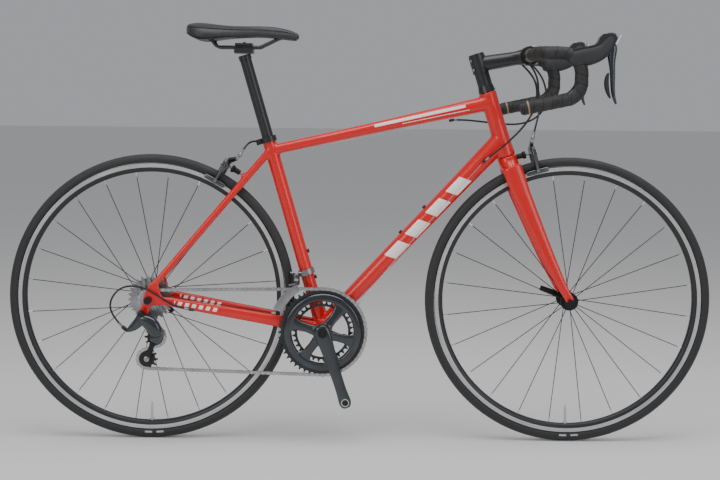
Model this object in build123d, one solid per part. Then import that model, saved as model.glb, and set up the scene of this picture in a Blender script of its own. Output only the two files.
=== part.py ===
from build123d import *
import math
import os

# A road bicycle in millimetres. +X is forward, +Y is the rider's left, +Z is up.
# The origin is on the ground, midway between the wheels. The drive side is -Y.

# ---- wheels
WHEEL_RADIUS = 336.0        # 700 x 25C, to the tread
WHEELBASE = 980.0
TYRE_WIDTH = 24.8
TYRE_WALL = 2.2
RIM_RADIUS = 314.4          # rim edge
RIM_DEPTH = 20.0
RIM_WIDTH = 20.5
RIM_WALL = 1.7
RIM_BED = 4.9               # bed below the rim edge
SPOKE_COUNT = 24
SPOKE_RADIUS = 0.9
FRONT_HUB_WIDTH = 100.0     # between the fork ends
REAR_HUB_WIDTH = 130.0      # between the dropouts
FRONT_FLANGE_RADIUS = 21.0
FRONT_FLANGE_Y = 34.0
REAR_FLANGE_RADIUS = 26.0
REAR_FLANGE_DRIVE_Y = -18.0
REAR_FLANGE_FAR_Y = 36.0
FLANGE_THICKNESS = 3.2
SPOKE_SEAT = 3.0            # spoke hole below the flange's rim
CROSS_ANGLE = 62.0          # degrees a crossed spoke leaves the radial line by
AXLE_RADIUS = 4.9
SKEWER_RADIUS = 2.5
RUNNING_GAP = 0.05          # radial clearance of a shaft in its bore
BODY_GAP = 0.4              # between faces of two bodies

# ---- frame
HEAD_TOP = (294.7, 823.9)
HEAD_BOTTOM = (341.8, 673.7)
BRACKET = (-86.1, 261.7)
SEAT_TUBE_TOP = (-218.5, 713.0)
SEAT_TUBE_RADIUS = 15.9
HEAD_RADIUS_TOP = 20.6
HEAD_RADIUS_BOTTOM = 22.4
HEAD_BORE = 18.5
TUBE_WALL = 1.6
BRACKET_RADIUS = 23.0
BRACKET_LENGTH = 86.5
BRACKET_BORE = 20.5
CHAINSTAY_END = (-446.0, 332.0)
SEATSTAY_TOP = (-219.0, 676.0)
SEATSTAY_END = (-476.0, 372.0)
DROPOUT_THICKNESS = 6.0
HANGER_BOLT = (-501.9, 309.0)
SEATPOST_RADIUS = 13.6
SEATPOST_TOP = (-275.5, 908.0)
SEATPOST_INSERTION = 110.0

# ---- steering
STEERER_RADIUS = 14.3
STEM_CLAMP_START = 47.0     # above the head tube, along the steering axis
STEM_CLAMP_HEIGHT = 41.0
BAR_CENTRE = (390.0, 908.5)
BAR_CLAMP_RADIUS = 15.9
BAR_RADIUS = 11.9
BAR_WALL = 2.0
BAR_DROP_Y = 199.0          # plane of each drop, from the middle
TAPE_THICKNESS = 3.5
TAPE_START_Y = 74.0
BAR_CORNERS = ((482.0, 906.5), (481.0, 812.0), (351.0, 784.7))
LEVER_PIVOT = (536.6, 905.3)
PADDLE_GAP = 1.6            # between a shift paddle and the brake blade in front of it

# ---- brakes
FRONT_SHOE = (408.6, 635.3)
REAR_SHOE = (-336.3, 603.5)
BRAKE_BOLT_RADIUS = 357.0   # the caliper's centre bolt from the axle
BRAKE_BOLT = 3.0
BRAKE_REACH = {"front": 52.0, "rear": 46.0}     # bolt behind the caliper
SHOE_GAP = 2.0              # each pad from the rim

# ---- cables: the stops that the housings end in (centre, direction, radius)
CABLE_STOPS = (((288, -27, 664), (-0.66, 0, -0.75), 3.4), ((288, 27, 664), (-0.66, 0, -0.75), 3.4),
               ((214, 25.5, 757), (-0.97, 0, -0.22), 3.4), ((-150, 21.5, 688), (-0.97, 0, -0.22), 3.4),
               ((-390, -64.5, 314), (-1, 0, 0.1), 3.4))

HOUSING_RADIUS = 2.2
WIRE_RADIUS = 0.6
HOUSING_ROUTES = (
    ((384, -58, 889), (400, -50, 872), (410, -46, 835), (404, -44, 790), (380, -42, 748), (340, -40, 706),
     (308, -33, 680), (290, -27.5, 665)),
    ((384, 58, 889), (406, 50, 870), (420, 46, 830), (412, 44, 782), (386, 42, 740), (345, 40, 702),
     (310, 34, 679), (290, 27.5, 665)),
    ((386, -66, 889), (412, -52, 868), (431, -22, 828), (434, 4, 792), (414, 30, 762), (376, 36, 748), (330, 38, 749),
     (280, 36, 755), (240, 30, 758.5), (216, 26, 757.5)),
    ((386, 66, 889), (408, 54, 866), (422, 34, 826), (420, 6, 786), (408, -20, 750), (400, -31, 722)),
    ((-156, 21.5, 686.5), (-188, 25, 682), (-214, 29, 690), (-240, 24, 703), (-258, 2, 704), (-270, -17, 693),
     (-280, -24, 676)),
    ((-397, -64.5, 314.6), (-430, -70, 322), (-462, -78, 346), (-505, -84, 371), (-549, -88, 370), (-576, -88, 338),
     (-572, -84, 302), (-547, -82, 276)),
)
WIRE_ROUTES = (
    ((280, -27, 655), (180, -27, 542), (60, -24, 405), (-20, -18, 300)),
    ((280, 27, 655), (180, 27, 542), (60, 24, 405), (-20, 18, 300)),
    ((205, 25.5, 755), (50, 24, 719.5), (-142, 21.5, 690)),
)

# ---- drive
CRANK_LENGTH = 170.0
CRANK_ANGLE = -71.5         # of the right crank, above forward
PEDAL_BORE = 7.14
SPINDLE_RADIUS = 12.0
CHAIN_PITCH = 12.7
INNER_PLATE_Y = 1.2         # inner face of the inner links' plates
OUTER_PLATE_Y = 2.05
PLATE_THICKNESS = 0.75
HELD_LINKS = 3              # links that stay in a wheel's plane beside it
ROLLER_RADIUS = 3.85
PIN_RADIUS = 1.7
TOOTH_VALLEY = 4.12
TOOTH_TIP = 2.9             # tooth tip above the pitch circle
TOOTH_FLARE = 2.0           # a valley's widening on each side at the tip
TOOTH_THICKNESS = 1.6
OUTER_RING_TEETH = 50
INNER_RING_TEETH = 34
OUTER_RING_BORE = 72.0      # radius of the opening inside the ring
INNER_RING_BORE = 59.5
RING_TAB_WIDTH = 19.0
OUTER_RING_Y = -48.0
INNER_RING_Y = -40.5
PULLEY_TEETH = 11
COG_TEETH = (11, 12, 13, 14, 15, 17, 19, 21, 23, 25)
COG_Y = -60.5               # smallest cog
COG_STEP = 3.95
FREEHUB_RADIUS = 17.0
SPACER_RADIUS = 17.4        # clear of the chain on the smallest cog
GUIDE_PULLEY = (-474.0, 249.0)
PULLEY_SPACING = 54.5
CAGE_ANGLE_GUESS = -116.0   # direction of the tension pulley from the guide pulley

REAR_AXLE = (-WHEELBASE / 2, WHEEL_RADIUS)
FRONT_AXLE = (WHEELBASE / 2, WHEEL_RADIUS)
FORWARD = Vector(1, 0, 0)
SIDE = Vector(0, 1, 0)

nodes = {}


def point(xz, y=0.0):
    """A point of the bicycle's middle plane, moved sideways by y."""
    return Vector(xz[0], y, xz[1])


def turned_between(start, end):
    """A plane at start whose normal points to end and whose x axis is sideways if it can be."""
    normal = (end - start).normalized()
    hint = FORWARD if abs(normal.Y) > 0.9 else SIDE
    return Plane(origin=start, x_dir=(hint - normal * hint.dot(normal)).normalized(), z_dir=normal)


def rod(start, end, radius):
    """A round bar from start to end."""
    return extrude(turned_between(start, end) * Circle(radius), (end - start).length)


def tube_blank(start, end, width_a, height_a, width_b, height_b):
    """An oval tube's solid outline. Widths are sideways and heights lie in the middle plane."""
    base = turned_between(start, end)
    tip = Plane(origin=end, x_dir=base.x_dir, z_dir=base.z_dir)
    first = base * Ellipse(width_a / 2, height_a / 2)
    last = tip * Ellipse(width_b / 2, height_b / 2)
    return loft([first, last])


def hollow_tube(start, end, width_a, height_a, width_b, height_b, wall=TUBE_WALL):
    """The outline of an oval tube and the tube itself, open at both ends."""
    outline = tube_blank(start, end, width_a, height_a, width_b, height_b)
    along = (end - start).normalized()
    bore = tube_blank(start - along, end + along, width_a - 2 * wall, height_a - 2 * wall,
                      width_b - 2 * wall, height_b - 2 * wall)
    return outline, outline - bore


def ring(centre, axis, outer, inner, length):
    """A round collar that starts at centre and runs along axis."""
    face = Circle(outer) - Circle(inner) if inner else Circle(outer)
    return extrude(turned_between(centre, centre + axis) * face, length)


def across(xz, y_low, y_high, radius, bore=0.0):
    """A round piece whose axis runs across the bicycle."""
    plane = Plane(origin=(xz[0], y_high, xz[1]), x_dir=(1, 0, 0), z_dir=(0, -1, 0))
    face = Circle(radius) - Circle(bore) if bore else Circle(radius)
    return extrude(plane * face, y_high - y_low)


def plate(outline, y_low, y_high):
    """A flat piece parallel to the middle plane, from its (x, z) corners."""
    face = make_face(Polyline(*[(x, y_low, z) for x, z in outline], close=True))
    return extrude(face, y_high - y_low, dir=(0, 1, 0))


def largest(shape):
    """The main solid of a cut shape, without the slivers that a mitre leaves behind."""
    return max(shape.solids(), key=lambda solid: solid.volume)


def bag(*pieces):
    """Several separate solids as one node."""
    return Compound(children=[solid for piece in pieces for solid in piece.solids()])


# ---- wheels

def wheel_profile(corners, centre):
    """A ring turned about the wheel's axle, from (radius, y) corners."""
    face = make_face(Polyline(*[(centre[0], y, centre[1] + r) for r, y in corners], close=True))
    return revolve(face, Axis((centre[0], 0, centre[1]), (0, 1, 0)))


def make_rim(centre):
    half = RIM_WIDTH / 2
    inner = RIM_RADIUS - RIM_DEPTH
    bed = RIM_RADIUS - RIM_BED
    wall = half - RIM_WALL
    corners = [(RIM_RADIUS, half), (RIM_RADIUS - 9, half), (inner + 3, 6.5), (inner, 3.5), (inner, -3.5),
               (inner + 3, -6.5), (RIM_RADIUS - 9, -half), (RIM_RADIUS, -half), (RIM_RADIUS, -wall),
               (bed, -wall), (bed, wall), (RIM_RADIUS, wall)]
    chamber = [(bed - 1.5, 7.2), (inner + 4.2, 5.0), (inner + 1.6, 3.0), (inner + 1.6, -3.0),
               (inner + 4.2, -5.0), (bed - 1.5, -7.2)]
    return wheel_profile(corners, centre) - wheel_profile(chamber, centre)


def make_tyre(centre):
    section = TYRE_WIDTH / 2
    middle = WHEEL_RADIUS - section
    bed = RIM_RADIUS - RIM_BED
    bead = RIM_WIDTH / 2 - RIM_WALL
    plane = Plane(origin=(centre[0], 0, centre[1] + middle), x_dir=(0, 1, 0), z_dir=(1, 0, 0))
    casing = Circle(section) - Circle(section - TYRE_WALL)
    casing -= Pos(0, -section) * Rectangle(2 * bead - 4.8, 2 * section)
    foot = bed - middle
    beads = Rectangle(2.4, 6.5, align=(Align.MIN, Align.MIN))
    casing += Pos(bead - 2.4, foot) * beads
    casing += Pos(-bead, foot) * beads
    return revolve(plane * casing, Axis((centre[0], 0, centre[1]), (0, 1, 0)))


def spoke(centre, rim_angle, hub_angle, flange_radius, flange_y, rim_y):
    """One spoke. Angles are in degrees about the axle, measured from forward towards up."""
    a, b = math.radians(hub_angle), math.radians(rim_angle)
    seat = flange_radius - SPOKE_SEAT
    rim = RIM_RADIUS - RIM_DEPTH + 2.5
    start = Vector(centre[0] + seat * math.cos(a), flange_y, centre[1] + seat * math.sin(a))
    end = Vector(centre[0] + rim * math.cos(b), rim_y, centre[1] + rim * math.sin(b))
    return rod(start, end, SPOKE_RADIUS)


def front_spokes():
    step = 360 / SPOKE_COUNT
    made = []
    for index in range(SPOKE_COUNT):
        side = 1 if index % 2 else -1
        angle = -90 + (index + 0.5) * step
        made.append(spoke(FRONT_AXLE, angle, angle, FRONT_FLANGE_RADIUS, side * FRONT_FLANGE_Y, side * 1.5))
    return bag(*made)


def rear_spokes():
    step = 360 / SPOKE_COUNT
    made = []
    for index in range(SPOKE_COUNT):
        angle = -90 + (index + 0.5) * step
        if index % 2:
            made.append(spoke(REAR_AXLE, angle, angle, REAR_FLANGE_RADIUS, REAR_FLANGE_FAR_Y, 1.5))
            continue
        lean = CROSS_ANGLE if index % 4 else -CROSS_ANGLE
        face = 1.6 if lean > 0 else -1.6
        made.append(spoke(REAR_AXLE, angle, angle + lean, REAR_FLANGE_RADIUS, REAR_FLANGE_DRIVE_Y + face, -1.5))
    return bag(*made)


def hub_shell(centre, bore, stations):
    """A turned hub, from (y, radius) stations, with a bore for its axle."""
    corners = [(bore, stations[0][0])] + [(r, y) for y, r in stations] + [(bore, stations[-1][0])]
    return wheel_profile(corners, centre)


def make_front_hub():
    y, half = FRONT_FLANGE_Y, FLANGE_THICKNESS / 2
    stations = [(-46, 9), (-42, 13.5), (-y - half, 14), (-y - half, FRONT_FLANGE_RADIUS),
                (-y + half, FRONT_FLANGE_RADIUS), (-y + half, 13), (-20, 11), (20, 11), (y - half, 13),
                (y - half, FRONT_FLANGE_RADIUS), (y + half, FRONT_FLANGE_RADIUS), (y + half, 14), (42, 13.5),
                (46, 9)]
    return hub_shell(FRONT_AXLE, AXLE_RADIUS + RUNNING_GAP, stations)


def make_rear_hub():
    d, f, half, r = REAR_FLANGE_DRIVE_Y, REAR_FLANGE_FAR_Y, FLANGE_THICKNESS / 2, REAR_FLANGE_RADIUS
    stations = [(-22.5, 15), (d - half, 15), (d - half, r), (d + half, r), (d + half, 16), (-4, 13),
                (26, 13), (f - half, 16), (f - half, r), (f + half, r), (f + half, 15), (46, 13.5), (52, 9)]
    return hub_shell(REAR_AXLE, AXLE_RADIUS + RUNNING_GAP, stations)


def make_axle(centre, half_width, face_radius):
    """An axle with its end faces and the skewer's nut on the drive side."""
    axle = across(centre, -half_width, half_width, AXLE_RADIUS)
    outside = half_width + DROPOUT_THICKNESS
    skewer = across(centre, -outside - 13, outside + 13, SKEWER_RADIUS)
    nut = across(centre, -outside - 13, -outside - BODY_GAP, 8.5)
    faces = [across(centre, half_width - 2, half_width, face_radius),
             across(centre, -half_width, -half_width + 2, face_radius)]
    return axle + skewer + nut + faces[0] + faces[1]


def quick_release(centre, half_width, angle, length):
    """A cam lever on the far side. Angle is where its tip points, from forward towards up."""
    base = half_width + DROPOUT_THICKNESS + BODY_GAP
    cam = across(centre, base, base + 14, 9.5, SKEWER_RADIUS + RUNNING_GAP)
    a = math.radians(angle)
    tip = (centre[0] + length * math.cos(a), centre[1] + length * math.sin(a))
    arm_start = Vector(centre[0] + 8 * math.cos(a), base + 7, centre[1] + 8 * math.sin(a))
    return cam + loft([turned_between(arm_start, point(tip, base + 9)) * Rectangle(7, 15),
                       Plane(origin=point(tip, base + 9), x_dir=SIDE,
                             z_dir=(point(tip) - point(centre)).normalized()) * Rectangle(4.5, 12)])


# ---- frame

def brake_frame(axle, shoe):
    """A caliper's centre bolt and the way up from there, away from the axle."""
    radial = (point(shoe) - point(axle)).normalized()
    return point(axle) + radial * BRAKE_BOLT_RADIUS, radial


FRONT_BRAKE_CENTRE, FRONT_BRAKE_UP = brake_frame(FRONT_AXLE, FRONT_SHOE)
FRONT_BRAKE_OUT = Vector(FRONT_BRAKE_UP.Z, 0, -FRONT_BRAKE_UP.X)
REAR_BRAKE_CENTRE, REAR_BRAKE_UP = brake_frame(REAR_AXLE, REAR_SHOE)
REAR_BRAKE_OUT = Vector(-REAR_BRAKE_UP.Z, 0, REAR_BRAKE_UP.X)


def steering_point(height):
    """A point on the steering axis, height millimetres above the top of the head tube."""
    top, bottom = point(HEAD_TOP), point(HEAD_BOTTOM)
    return top + (top - bottom).normalized() * height


STEER_UP = (point(HEAD_TOP) - point(HEAD_BOTTOM)).normalized()
STEER_FRONT = Vector(STEER_UP.Z, 0, -STEER_UP.X)
HEAD_LENGTH = (point(HEAD_TOP) - point(HEAD_BOTTOM)).length
SEAT_UP = (point(SEAT_TUBE_TOP) - point(BRACKET)).normalized()


DOWN_TUBE_LINE = (point(BRACKET) + Vector(6, 0, 14), steering_point(-HEAD_LENGTH + 40))
DOWN_HEIGHTS = (35.0, 47.0)
TOP_TUBE_LINE = (point(SEAT_TUBE_TOP) - SEAT_UP * 31, steering_point(-26))
TOP_HEIGHTS = (25.0, 36.0)


def make_frame():
    """The frame's tubes, each mitred to its neighbours."""
    head, seat_top, bracket = point(HEAD_TOP), point(SEAT_TUBE_TOP), point(BRACKET)
    bottom = point(HEAD_BOTTOM)
    head_plane = turned_between(bottom, head)
    head_blank = loft([head_plane * Circle(HEAD_RADIUS_BOTTOM),
                       Plane(origin=head, x_dir=head_plane.x_dir, z_dir=head_plane.z_dir) * Circle(HEAD_RADIUS_TOP)])
    head_bore = rod(bottom - STEER_UP, head + STEER_UP, HEAD_BORE)
    seat_blank = rod(bracket, seat_top, SEAT_TUBE_RADIUS)
    seat_bore = rod(bracket, seat_top + SEAT_UP, SEATPOST_RADIUS)
    shell_blank = across(BRACKET, -BRACKET_LENGTH / 2, BRACKET_LENGTH / 2, BRACKET_RADIUS)
    shell = across(BRACKET, -BRACKET_LENGTH / 2, BRACKET_LENGTH / 2, BRACKET_RADIUS, BRACKET_BORE)

    top_outline, top = hollow_tube(*TOP_TUBE_LINE, 33, TOP_HEIGHTS[0], 42, TOP_HEIGHTS[1])
    down_outline, down = hollow_tube(*DOWN_TUBE_LINE, 40, DOWN_HEIGHTS[0], 44, DOWN_HEIGHTS[1])
    chain_outlines, chainstays = make_chainstays()
    seat_outlines, seatstays = make_seatstays()

    nodes["head_tube"] = head_blank - head_bore
    nodes["seat_tube"] = largest(seat_blank - seat_bore - shell_blank)
    nodes["bottom_bracket_shell"] = shell
    nodes["top_tube"] = largest(top - head_blank - seat_blank)
    nodes["down_tube"] = largest(down - head_blank - seat_blank - shell_blank - top_outline)
    chainstays = [largest(stay - shell_blank - seat_blank - down_outline) for stay in chainstays]
    seatstays = [largest(stay - seat_blank - top_outline) for stay in seatstays]
    bridge_centre = REAR_BRAKE_CENTRE - REAR_BRAKE_OUT * (BRAKE_REACH["rear"] + 1)
    bridge = rod(bridge_centre - SIDE * 30, bridge_centre + SIDE * 30, 9)
    bolt_hole = rod(bridge_centre, bridge_centre + REAR_BRAKE_OUT * 20, BRAKE_BOLT + RUNNING_GAP)
    bridge = largest(bridge - seat_outlines[0] - seat_outlines[1] - bolt_hole)
    nodes["chainstays"] = bag(*chainstays)
    nodes["seatstays"] = bag(*seatstays, bridge)
    nodes["dropouts"] = make_dropouts(chain_outlines, seat_outlines)


def make_chainstays():
    outlines, tubes = [], []
    for side in (-1, 1):
        start = Vector(BRACKET[0] - 14, side * 24, BRACKET[1] + 6)
        end = point(CHAINSTAY_END, side * 60)
        outline, tube = hollow_tube(start, end, 14, 30, 15, 22)
        outlines.append(outline)
        tubes.append(tube)
    return outlines, tubes


def make_seatstays():
    outlines, tubes = [], []
    for side in (-1, 1):
        start = point(SEATSTAY_TOP, side * 10)
        end = point(SEATSTAY_END, side * 64)
        outline, tube = hollow_tube(start, end, 16, 18, 13, 14)
        outlines.append(outline)
        tubes.append(tube)
    return outlines, tubes


def make_dropouts(chain_outlines, seat_outlines):
    inner = REAR_HUB_WIDTH / 2
    outline = [(-455, 343), (-455, 322), (-478, 322), (-498, 324), (-504, 336), (-497, 354), (-488, 372),
               (-478, 380), (-466, 373), (-463, 356)]
    hanger = [(-497, 330), (-484, 324), (-491, 300), (-500, 297), (-510, 302), (-512, 312), (-503, 326)]
    made = []
    for side, stay_a, stay_b in ((-1, chain_outlines[0], seat_outlines[0]), (1, chain_outlines[1], seat_outlines[1])):
        low = inner if side > 0 else -inner - DROPOUT_THICKNESS
        slab = plate(outline, low, low + DROPOUT_THICKNESS)
        if side < 0:
            slab += plate(hanger, low, low + DROPOUT_THICKNESS)
            slab -= across(HANGER_BOLT, low - 1, low + DROPOUT_THICKNESS + 1, 5.0)
        slab -= across(REAR_AXLE, low - 1, low + DROPOUT_THICKNESS + 1, AXLE_RADIUS)
        made.append(largest(slab - stay_a - stay_b))
    return bag(*made)


def make_frame_fittings():
    """The seat collar, bottle bosses and cable stops."""
    top = point(SEAT_TUBE_TOP)
    back = Vector(-SEAT_UP.Z, 0, SEAT_UP.X)
    collar = ring(top - SEAT_UP * 11, SEAT_UP, SEAT_TUBE_RADIUS + 3.2, SEAT_TUBE_RADIUS, 13)
    ear_plane = Plane(origin=top - SEAT_UP * 4.5 + back * 23, x_dir=back, z_dir=SEAT_UP)
    ears = extrude(ear_plane * Rectangle(13, 16), 6.5, both=True)
    slit = extrude(ear_plane * Rectangle(22, 1.6), 12, both=True)
    bolt_centre = top - SEAT_UP * 4.5 + back * 26
    bolt = rod(bolt_centre - SIDE * 12, bolt_centre + SIDE * 12, 2.8)
    seat = rod(top - SEAT_UP * 60, top + SEAT_UP * 20, SEAT_TUBE_RADIUS)
    return bag(largest(collar + ears - slit + bolt - seat), *bottle_bosses(), *cable_stops())


def tube_surface(line, heights, share, sense):
    """A point on a tube's upper or lower side, a share of the way along, and the way out there."""
    along = (line[1] - line[0]).normalized()
    out = Vector(-along.Z, 0, along.X) * sense
    height = heights[0] + (heights[1] - heights[0]) * share
    return line[0] + (line[1] - line[0]) * share + out * (height / 2), out


def bottle_bosses():
    """Threaded studs with round heads, two on the down tube and two on the seat tube."""
    seat_line = (point(BRACKET), point(SEAT_TUBE_TOP))
    seat_heights = (2 * SEAT_TUBE_RADIUS, 2 * SEAT_TUBE_RADIUS)
    made = []
    for line, heights, share, sense in ((DOWN_TUBE_LINE, DOWN_HEIGHTS, 0.465, 1), (DOWN_TUBE_LINE, DOWN_HEIGHTS, 0.60, 1),
                                        (seat_line, seat_heights, 0.265, -1), (seat_line, seat_heights, 0.40, -1)):
        seat, out = tube_surface(line, heights, share, sense)
        made.append(ring(seat + out * 0.05, out, 4.6, 0, 4.2))
    return made


def cable_stops():
    """Barrel stops that hold the ends of the cable housings."""
    made = []
    for centre, along, radius in CABLE_STOPS:
        along = Vector(*along).normalized()
        made.append(ring(Vector(*centre) - along * 6, along, radius, 2.0, 12))
    return made


def make_bearings():
    """The headset's two cartridge bearings and the bottom bracket's two cups."""
    inner = STEERER_RADIUS + RUNNING_GAP
    upper = ring(steering_point(-9), STEER_UP, HEAD_BORE, inner, 8)
    lower = ring(steering_point(-HEAD_LENGTH + 1), STEER_UP, HEAD_BORE, inner, 8)
    half = BRACKET_LENGTH / 2
    cups = []
    for side in (-1, 1):
        cup = across(BRACKET, -4.5, 4.5, BRACKET_RADIUS - 1, SPINDLE_RADIUS + RUNNING_GAP)
        barrel = across(BRACKET, -6, 6, BRACKET_BORE, SPINDLE_RADIUS + RUNNING_GAP)
        cups.append(Pos(0, side * (half + 4.55), 0) * cup + Pos(0, side * (half - 5.95), 0) * barrel)
    return bag(upper, lower, *cups)


# ---- seat

def make_seat():
    post_top, seat_top = point(SEATPOST_TOP), point(SEAT_TUBE_TOP)
    post_radius = SEATPOST_RADIUS - RUNNING_GAP
    post = rod(seat_top - SEAT_UP * SEATPOST_INSERTION, seat_top + SEAT_UP * 190, post_radius)
    head = seat_top + SEAT_UP * 190
    post += rod(head - SEAT_UP * 1, head + SEAT_UP * 10, 15)
    bore = rod(seat_top - SEAT_UP * (SEATPOST_INSERTION + 1), seat_top + SEAT_UP * 180, post_radius - 2.4)
    nodes["seatpost"] = post - bore

    rail_z, rail_y, rail_radius = 923.0, 22.0, 3.5
    clamp_x = head.X - 3
    lower = Pos(clamp_x, 0, rail_z - 8) * Box(44, 2 * rail_y + 12, 12)
    upper = Pos(clamp_x, 0, rail_z + 6.2) * Box(40, 2 * rail_y + 10, 6)
    bolt = Pos(clamp_x, 0, rail_z) * Cylinder(3, 26)
    grooves = Pos(clamp_x, rail_y, rail_z) * Rot(0, 90, 0) * Cylinder(rail_radius, 80)
    grooves += Pos(clamp_x, -rail_y, rail_z) * Rot(0, 90, 0) * Cylinder(rail_radius, 80)
    nodes["saddle_clamp"] = largest(lower + upper + bolt - grooves - nodes["seatpost"] - post)

    half = ((-352, 943), (-338, rail_z), (-238, rail_z), (-196, 943), (-186, 946))
    rails = []
    for side in (-1, 1):
        ys = (34, rail_y, rail_y, 10, 8)
        path = FilletPolyline(*[Vector(x, side * y, z) for (x, z), y in zip(half, ys)], radius=14)
        rails.append(sweep(Plane(path @ 0, z_dir=path % 0) * Circle(rail_radius), path))
    nodes["saddle_rails"] = bag(*rails)
    saddle_soft(rails)


def saddle_stations():
    """Saddle stations from the tail to the nose: x, half width, top height, thickness."""
    return ((-411, 26, 972, 24), (-396, 60, 981, 42), (-368, 70, 979, 44), (-330, 58, 974, 34), (-290, 36, 972, 28),
            (-245, 24, 973.5, 26), (-200, 20, 972, 27), (-165, 18, 966, 24), (-145, 13, 957, 14))


def saddle_section(x, half_width, top, thick):
    """A flat-bottomed arch across the saddle."""
    low = top - thick
    corners = [(-half_width, low), (-half_width * 0.96, low + thick * 0.55), (-half_width * 0.6, top - thick * 0.06),
               (0, top), (half_width * 0.6, top - thick * 0.06), (half_width * 0.96, low + thick * 0.55),
               (half_width, low)]
    plane = Plane(origin=(x, 0, 0), x_dir=(0, 1, 0), z_dir=(1, 0, 0))
    return plane * make_face(Polyline(*corners, close=True))


def saddle_soft(rails):
    """The hard shell under the saddle and the padded cover over it."""
    stations = saddle_stations()
    cover = loft([saddle_section(*station) for station in stations], ruled=True)
    shell = loft([saddle_section(x, w * 0.9, top - thick * 0.55, thick * 0.62)
                  for x, w, top, thick in stations[1:-1]],
                 ruled=True)
    shell = shell - rails[0] - rails[1]
    nodes["saddle_shell"] = largest(shell)
    nodes["saddle_cover"] = largest(cover - shell - rails[0] - rails[1])


# ---- steering

def blade_stations(side):
    """The fork blade's stations from the crown to its tip: centre, depth and width."""
    return ((Vector(352, side * 25, 646), 47, 21), (Vector(367, side * 31, 606), 45, 19),
            (Vector(403, side * 38, 520), 38, 17), (Vector(440, side * 44, 437), 31, 15),
            (Vector(471, side * 50, 372), 24, 12))


def make_blade(side):
    stations = blade_stations(side)
    faces = []
    for index, (centre, depth, width) in enumerate(stations):
        before = stations[max(index - 1, 0)][0]
        after = stations[min(index + 1, len(stations) - 1)][0]
        along = (after - before).normalized()
        plane = Plane(origin=centre, x_dir=(SIDE - along * SIDE.dot(along)).normalized(), z_dir=along)
        faces.append(plane * Ellipse(width / 2, depth / 2))
    return loft(faces)


def make_fork():
    bottom = point(HEAD_BOTTOM)
    gap = bottom - STEER_UP * BODY_GAP
    crown_plane = turned_between(gap, gap - STEER_UP)
    lower_plane = Plane(origin=gap - STEER_UP * 34 + STEER_FRONT * 3, x_dir=crown_plane.x_dir, z_dir=crown_plane.z_dir)
    crown = loft([crown_plane * Circle(HEAD_RADIUS_BOTTOM - 0.2), lower_plane * Ellipse(40, 24)])
    steerer = rod(bottom - STEER_UP * 20, steering_point(STEM_CLAMP_START + STEM_CLAMP_HEIGHT - 2), STEERER_RADIUS)
    bore = rod(bottom - STEER_UP * 10, steering_point(STEM_CLAMP_START + STEM_CLAMP_HEIGHT), STEERER_RADIUS - 3)
    wheel_gap = across(FRONT_AXLE, -17, 17, WHEEL_RADIUS + 7)
    brake_hole = rod(FRONT_BRAKE_CENTRE - FRONT_BRAKE_OUT * 90, FRONT_BRAKE_CENTRE, 3.05)
    fork = crown + make_blade(-1) + make_blade(1)
    inner = FRONT_HUB_WIDTH / 2
    tip = [(468, 385), (484, 378), (499, 346), (500, 332), (490, 326), (481, 330), (472, 350), (462, 376)]
    for side in (-1, 1):
        low = inner if side > 0 else -inner - DROPOUT_THICKNESS
        fork += plate(tip, low, low + DROPOUT_THICKNESS)
    fork -= across(FRONT_AXLE, -80, 80, AXLE_RADIUS)
    fork = fork - wheel_gap - across(FRONT_AXLE, -inner, inner, 30)
    return largest(fork + steerer - bore - brake_hole)


def make_headset_cover():
    """The cone cover, two spacers and the top cap with its bolt."""
    inner = STEERER_RADIUS
    base = turned_between(steering_point(BODY_GAP), steering_point(10))
    top = Plane(origin=steering_point(16), x_dir=base.x_dir, z_dir=base.z_dir)
    cone = loft([base * Circle(HEAD_RADIUS_TOP - 0.3), top * Circle(17.2)])
    cone -= rod(steering_point(-2), steering_point(20), inner)
    spacers = [ring(steering_point(16 + 15.5 * index), STEER_UP, 17.0, inner, 15.4) for index in (0, 1)]
    end = STEM_CLAMP_START + STEM_CLAMP_HEIGHT
    cap = rod(steering_point(end), steering_point(end + 5), 18.0)
    cap -= rod(steering_point(end + 2.5), steering_point(end + 6), 5)
    bolt = rod(steering_point(end + 2.5), steering_point(end + 5.5), 4.0)
    return bag(cone, *spacers, cap, bolt)


def make_stem():
    low = steering_point(STEM_CLAMP_START)
    middle = steering_point(STEM_CLAMP_START + STEM_CLAMP_HEIGHT / 2)
    bar = point(BAR_CENTRE)
    ahead = (bar - middle).normalized()
    clamp = rod(low, steering_point(STEM_CLAMP_START + STEM_CLAMP_HEIGHT), 19.5)
    neck = tube_blank(middle, bar - ahead * 12, 36, 37, 34, 31)
    jaw = rod(bar - SIDE * 23, bar + SIDE * 23, BAR_CLAMP_RADIUS + 6)
    cut_plane = Plane(origin=bar + ahead * 1.0, x_dir=SIDE, z_dir=ahead)
    front = extrude(cut_plane * Rectangle(80, 80), 60)
    steerer = rod(low - STEER_UP * 10, middle + STEER_UP * 60, STEERER_RADIUS)
    bar_hole = rod(bar - SIDE * 40, bar + SIDE * 40, BAR_CLAMP_RADIUS)
    stem = clamp + neck + jaw - front - steerer - bar_hole
    plate_cut = extrude(Plane(origin=bar + ahead * 2.2, x_dir=SIDE, z_dir=ahead * -1) * Rectangle(80, 80), 60)
    faceplate = jaw - plate_cut - bar_hole
    face_up = Vector(-ahead.Z, 0, ahead.X)
    bolts = []
    for up in (-1, 1):
        for side in (-1, 1):
            seat = bar + SIDE * (side * 15) + face_up * (up * (BAR_CLAMP_RADIUS + 3.2))
            bolts.append(rod(seat - ahead * 1, seat + ahead * 13, 3.4))
    for bolt in bolts:
        faceplate += bolt
    return largest(stem), largest(faceplate - stem - bar_hole)


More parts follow.
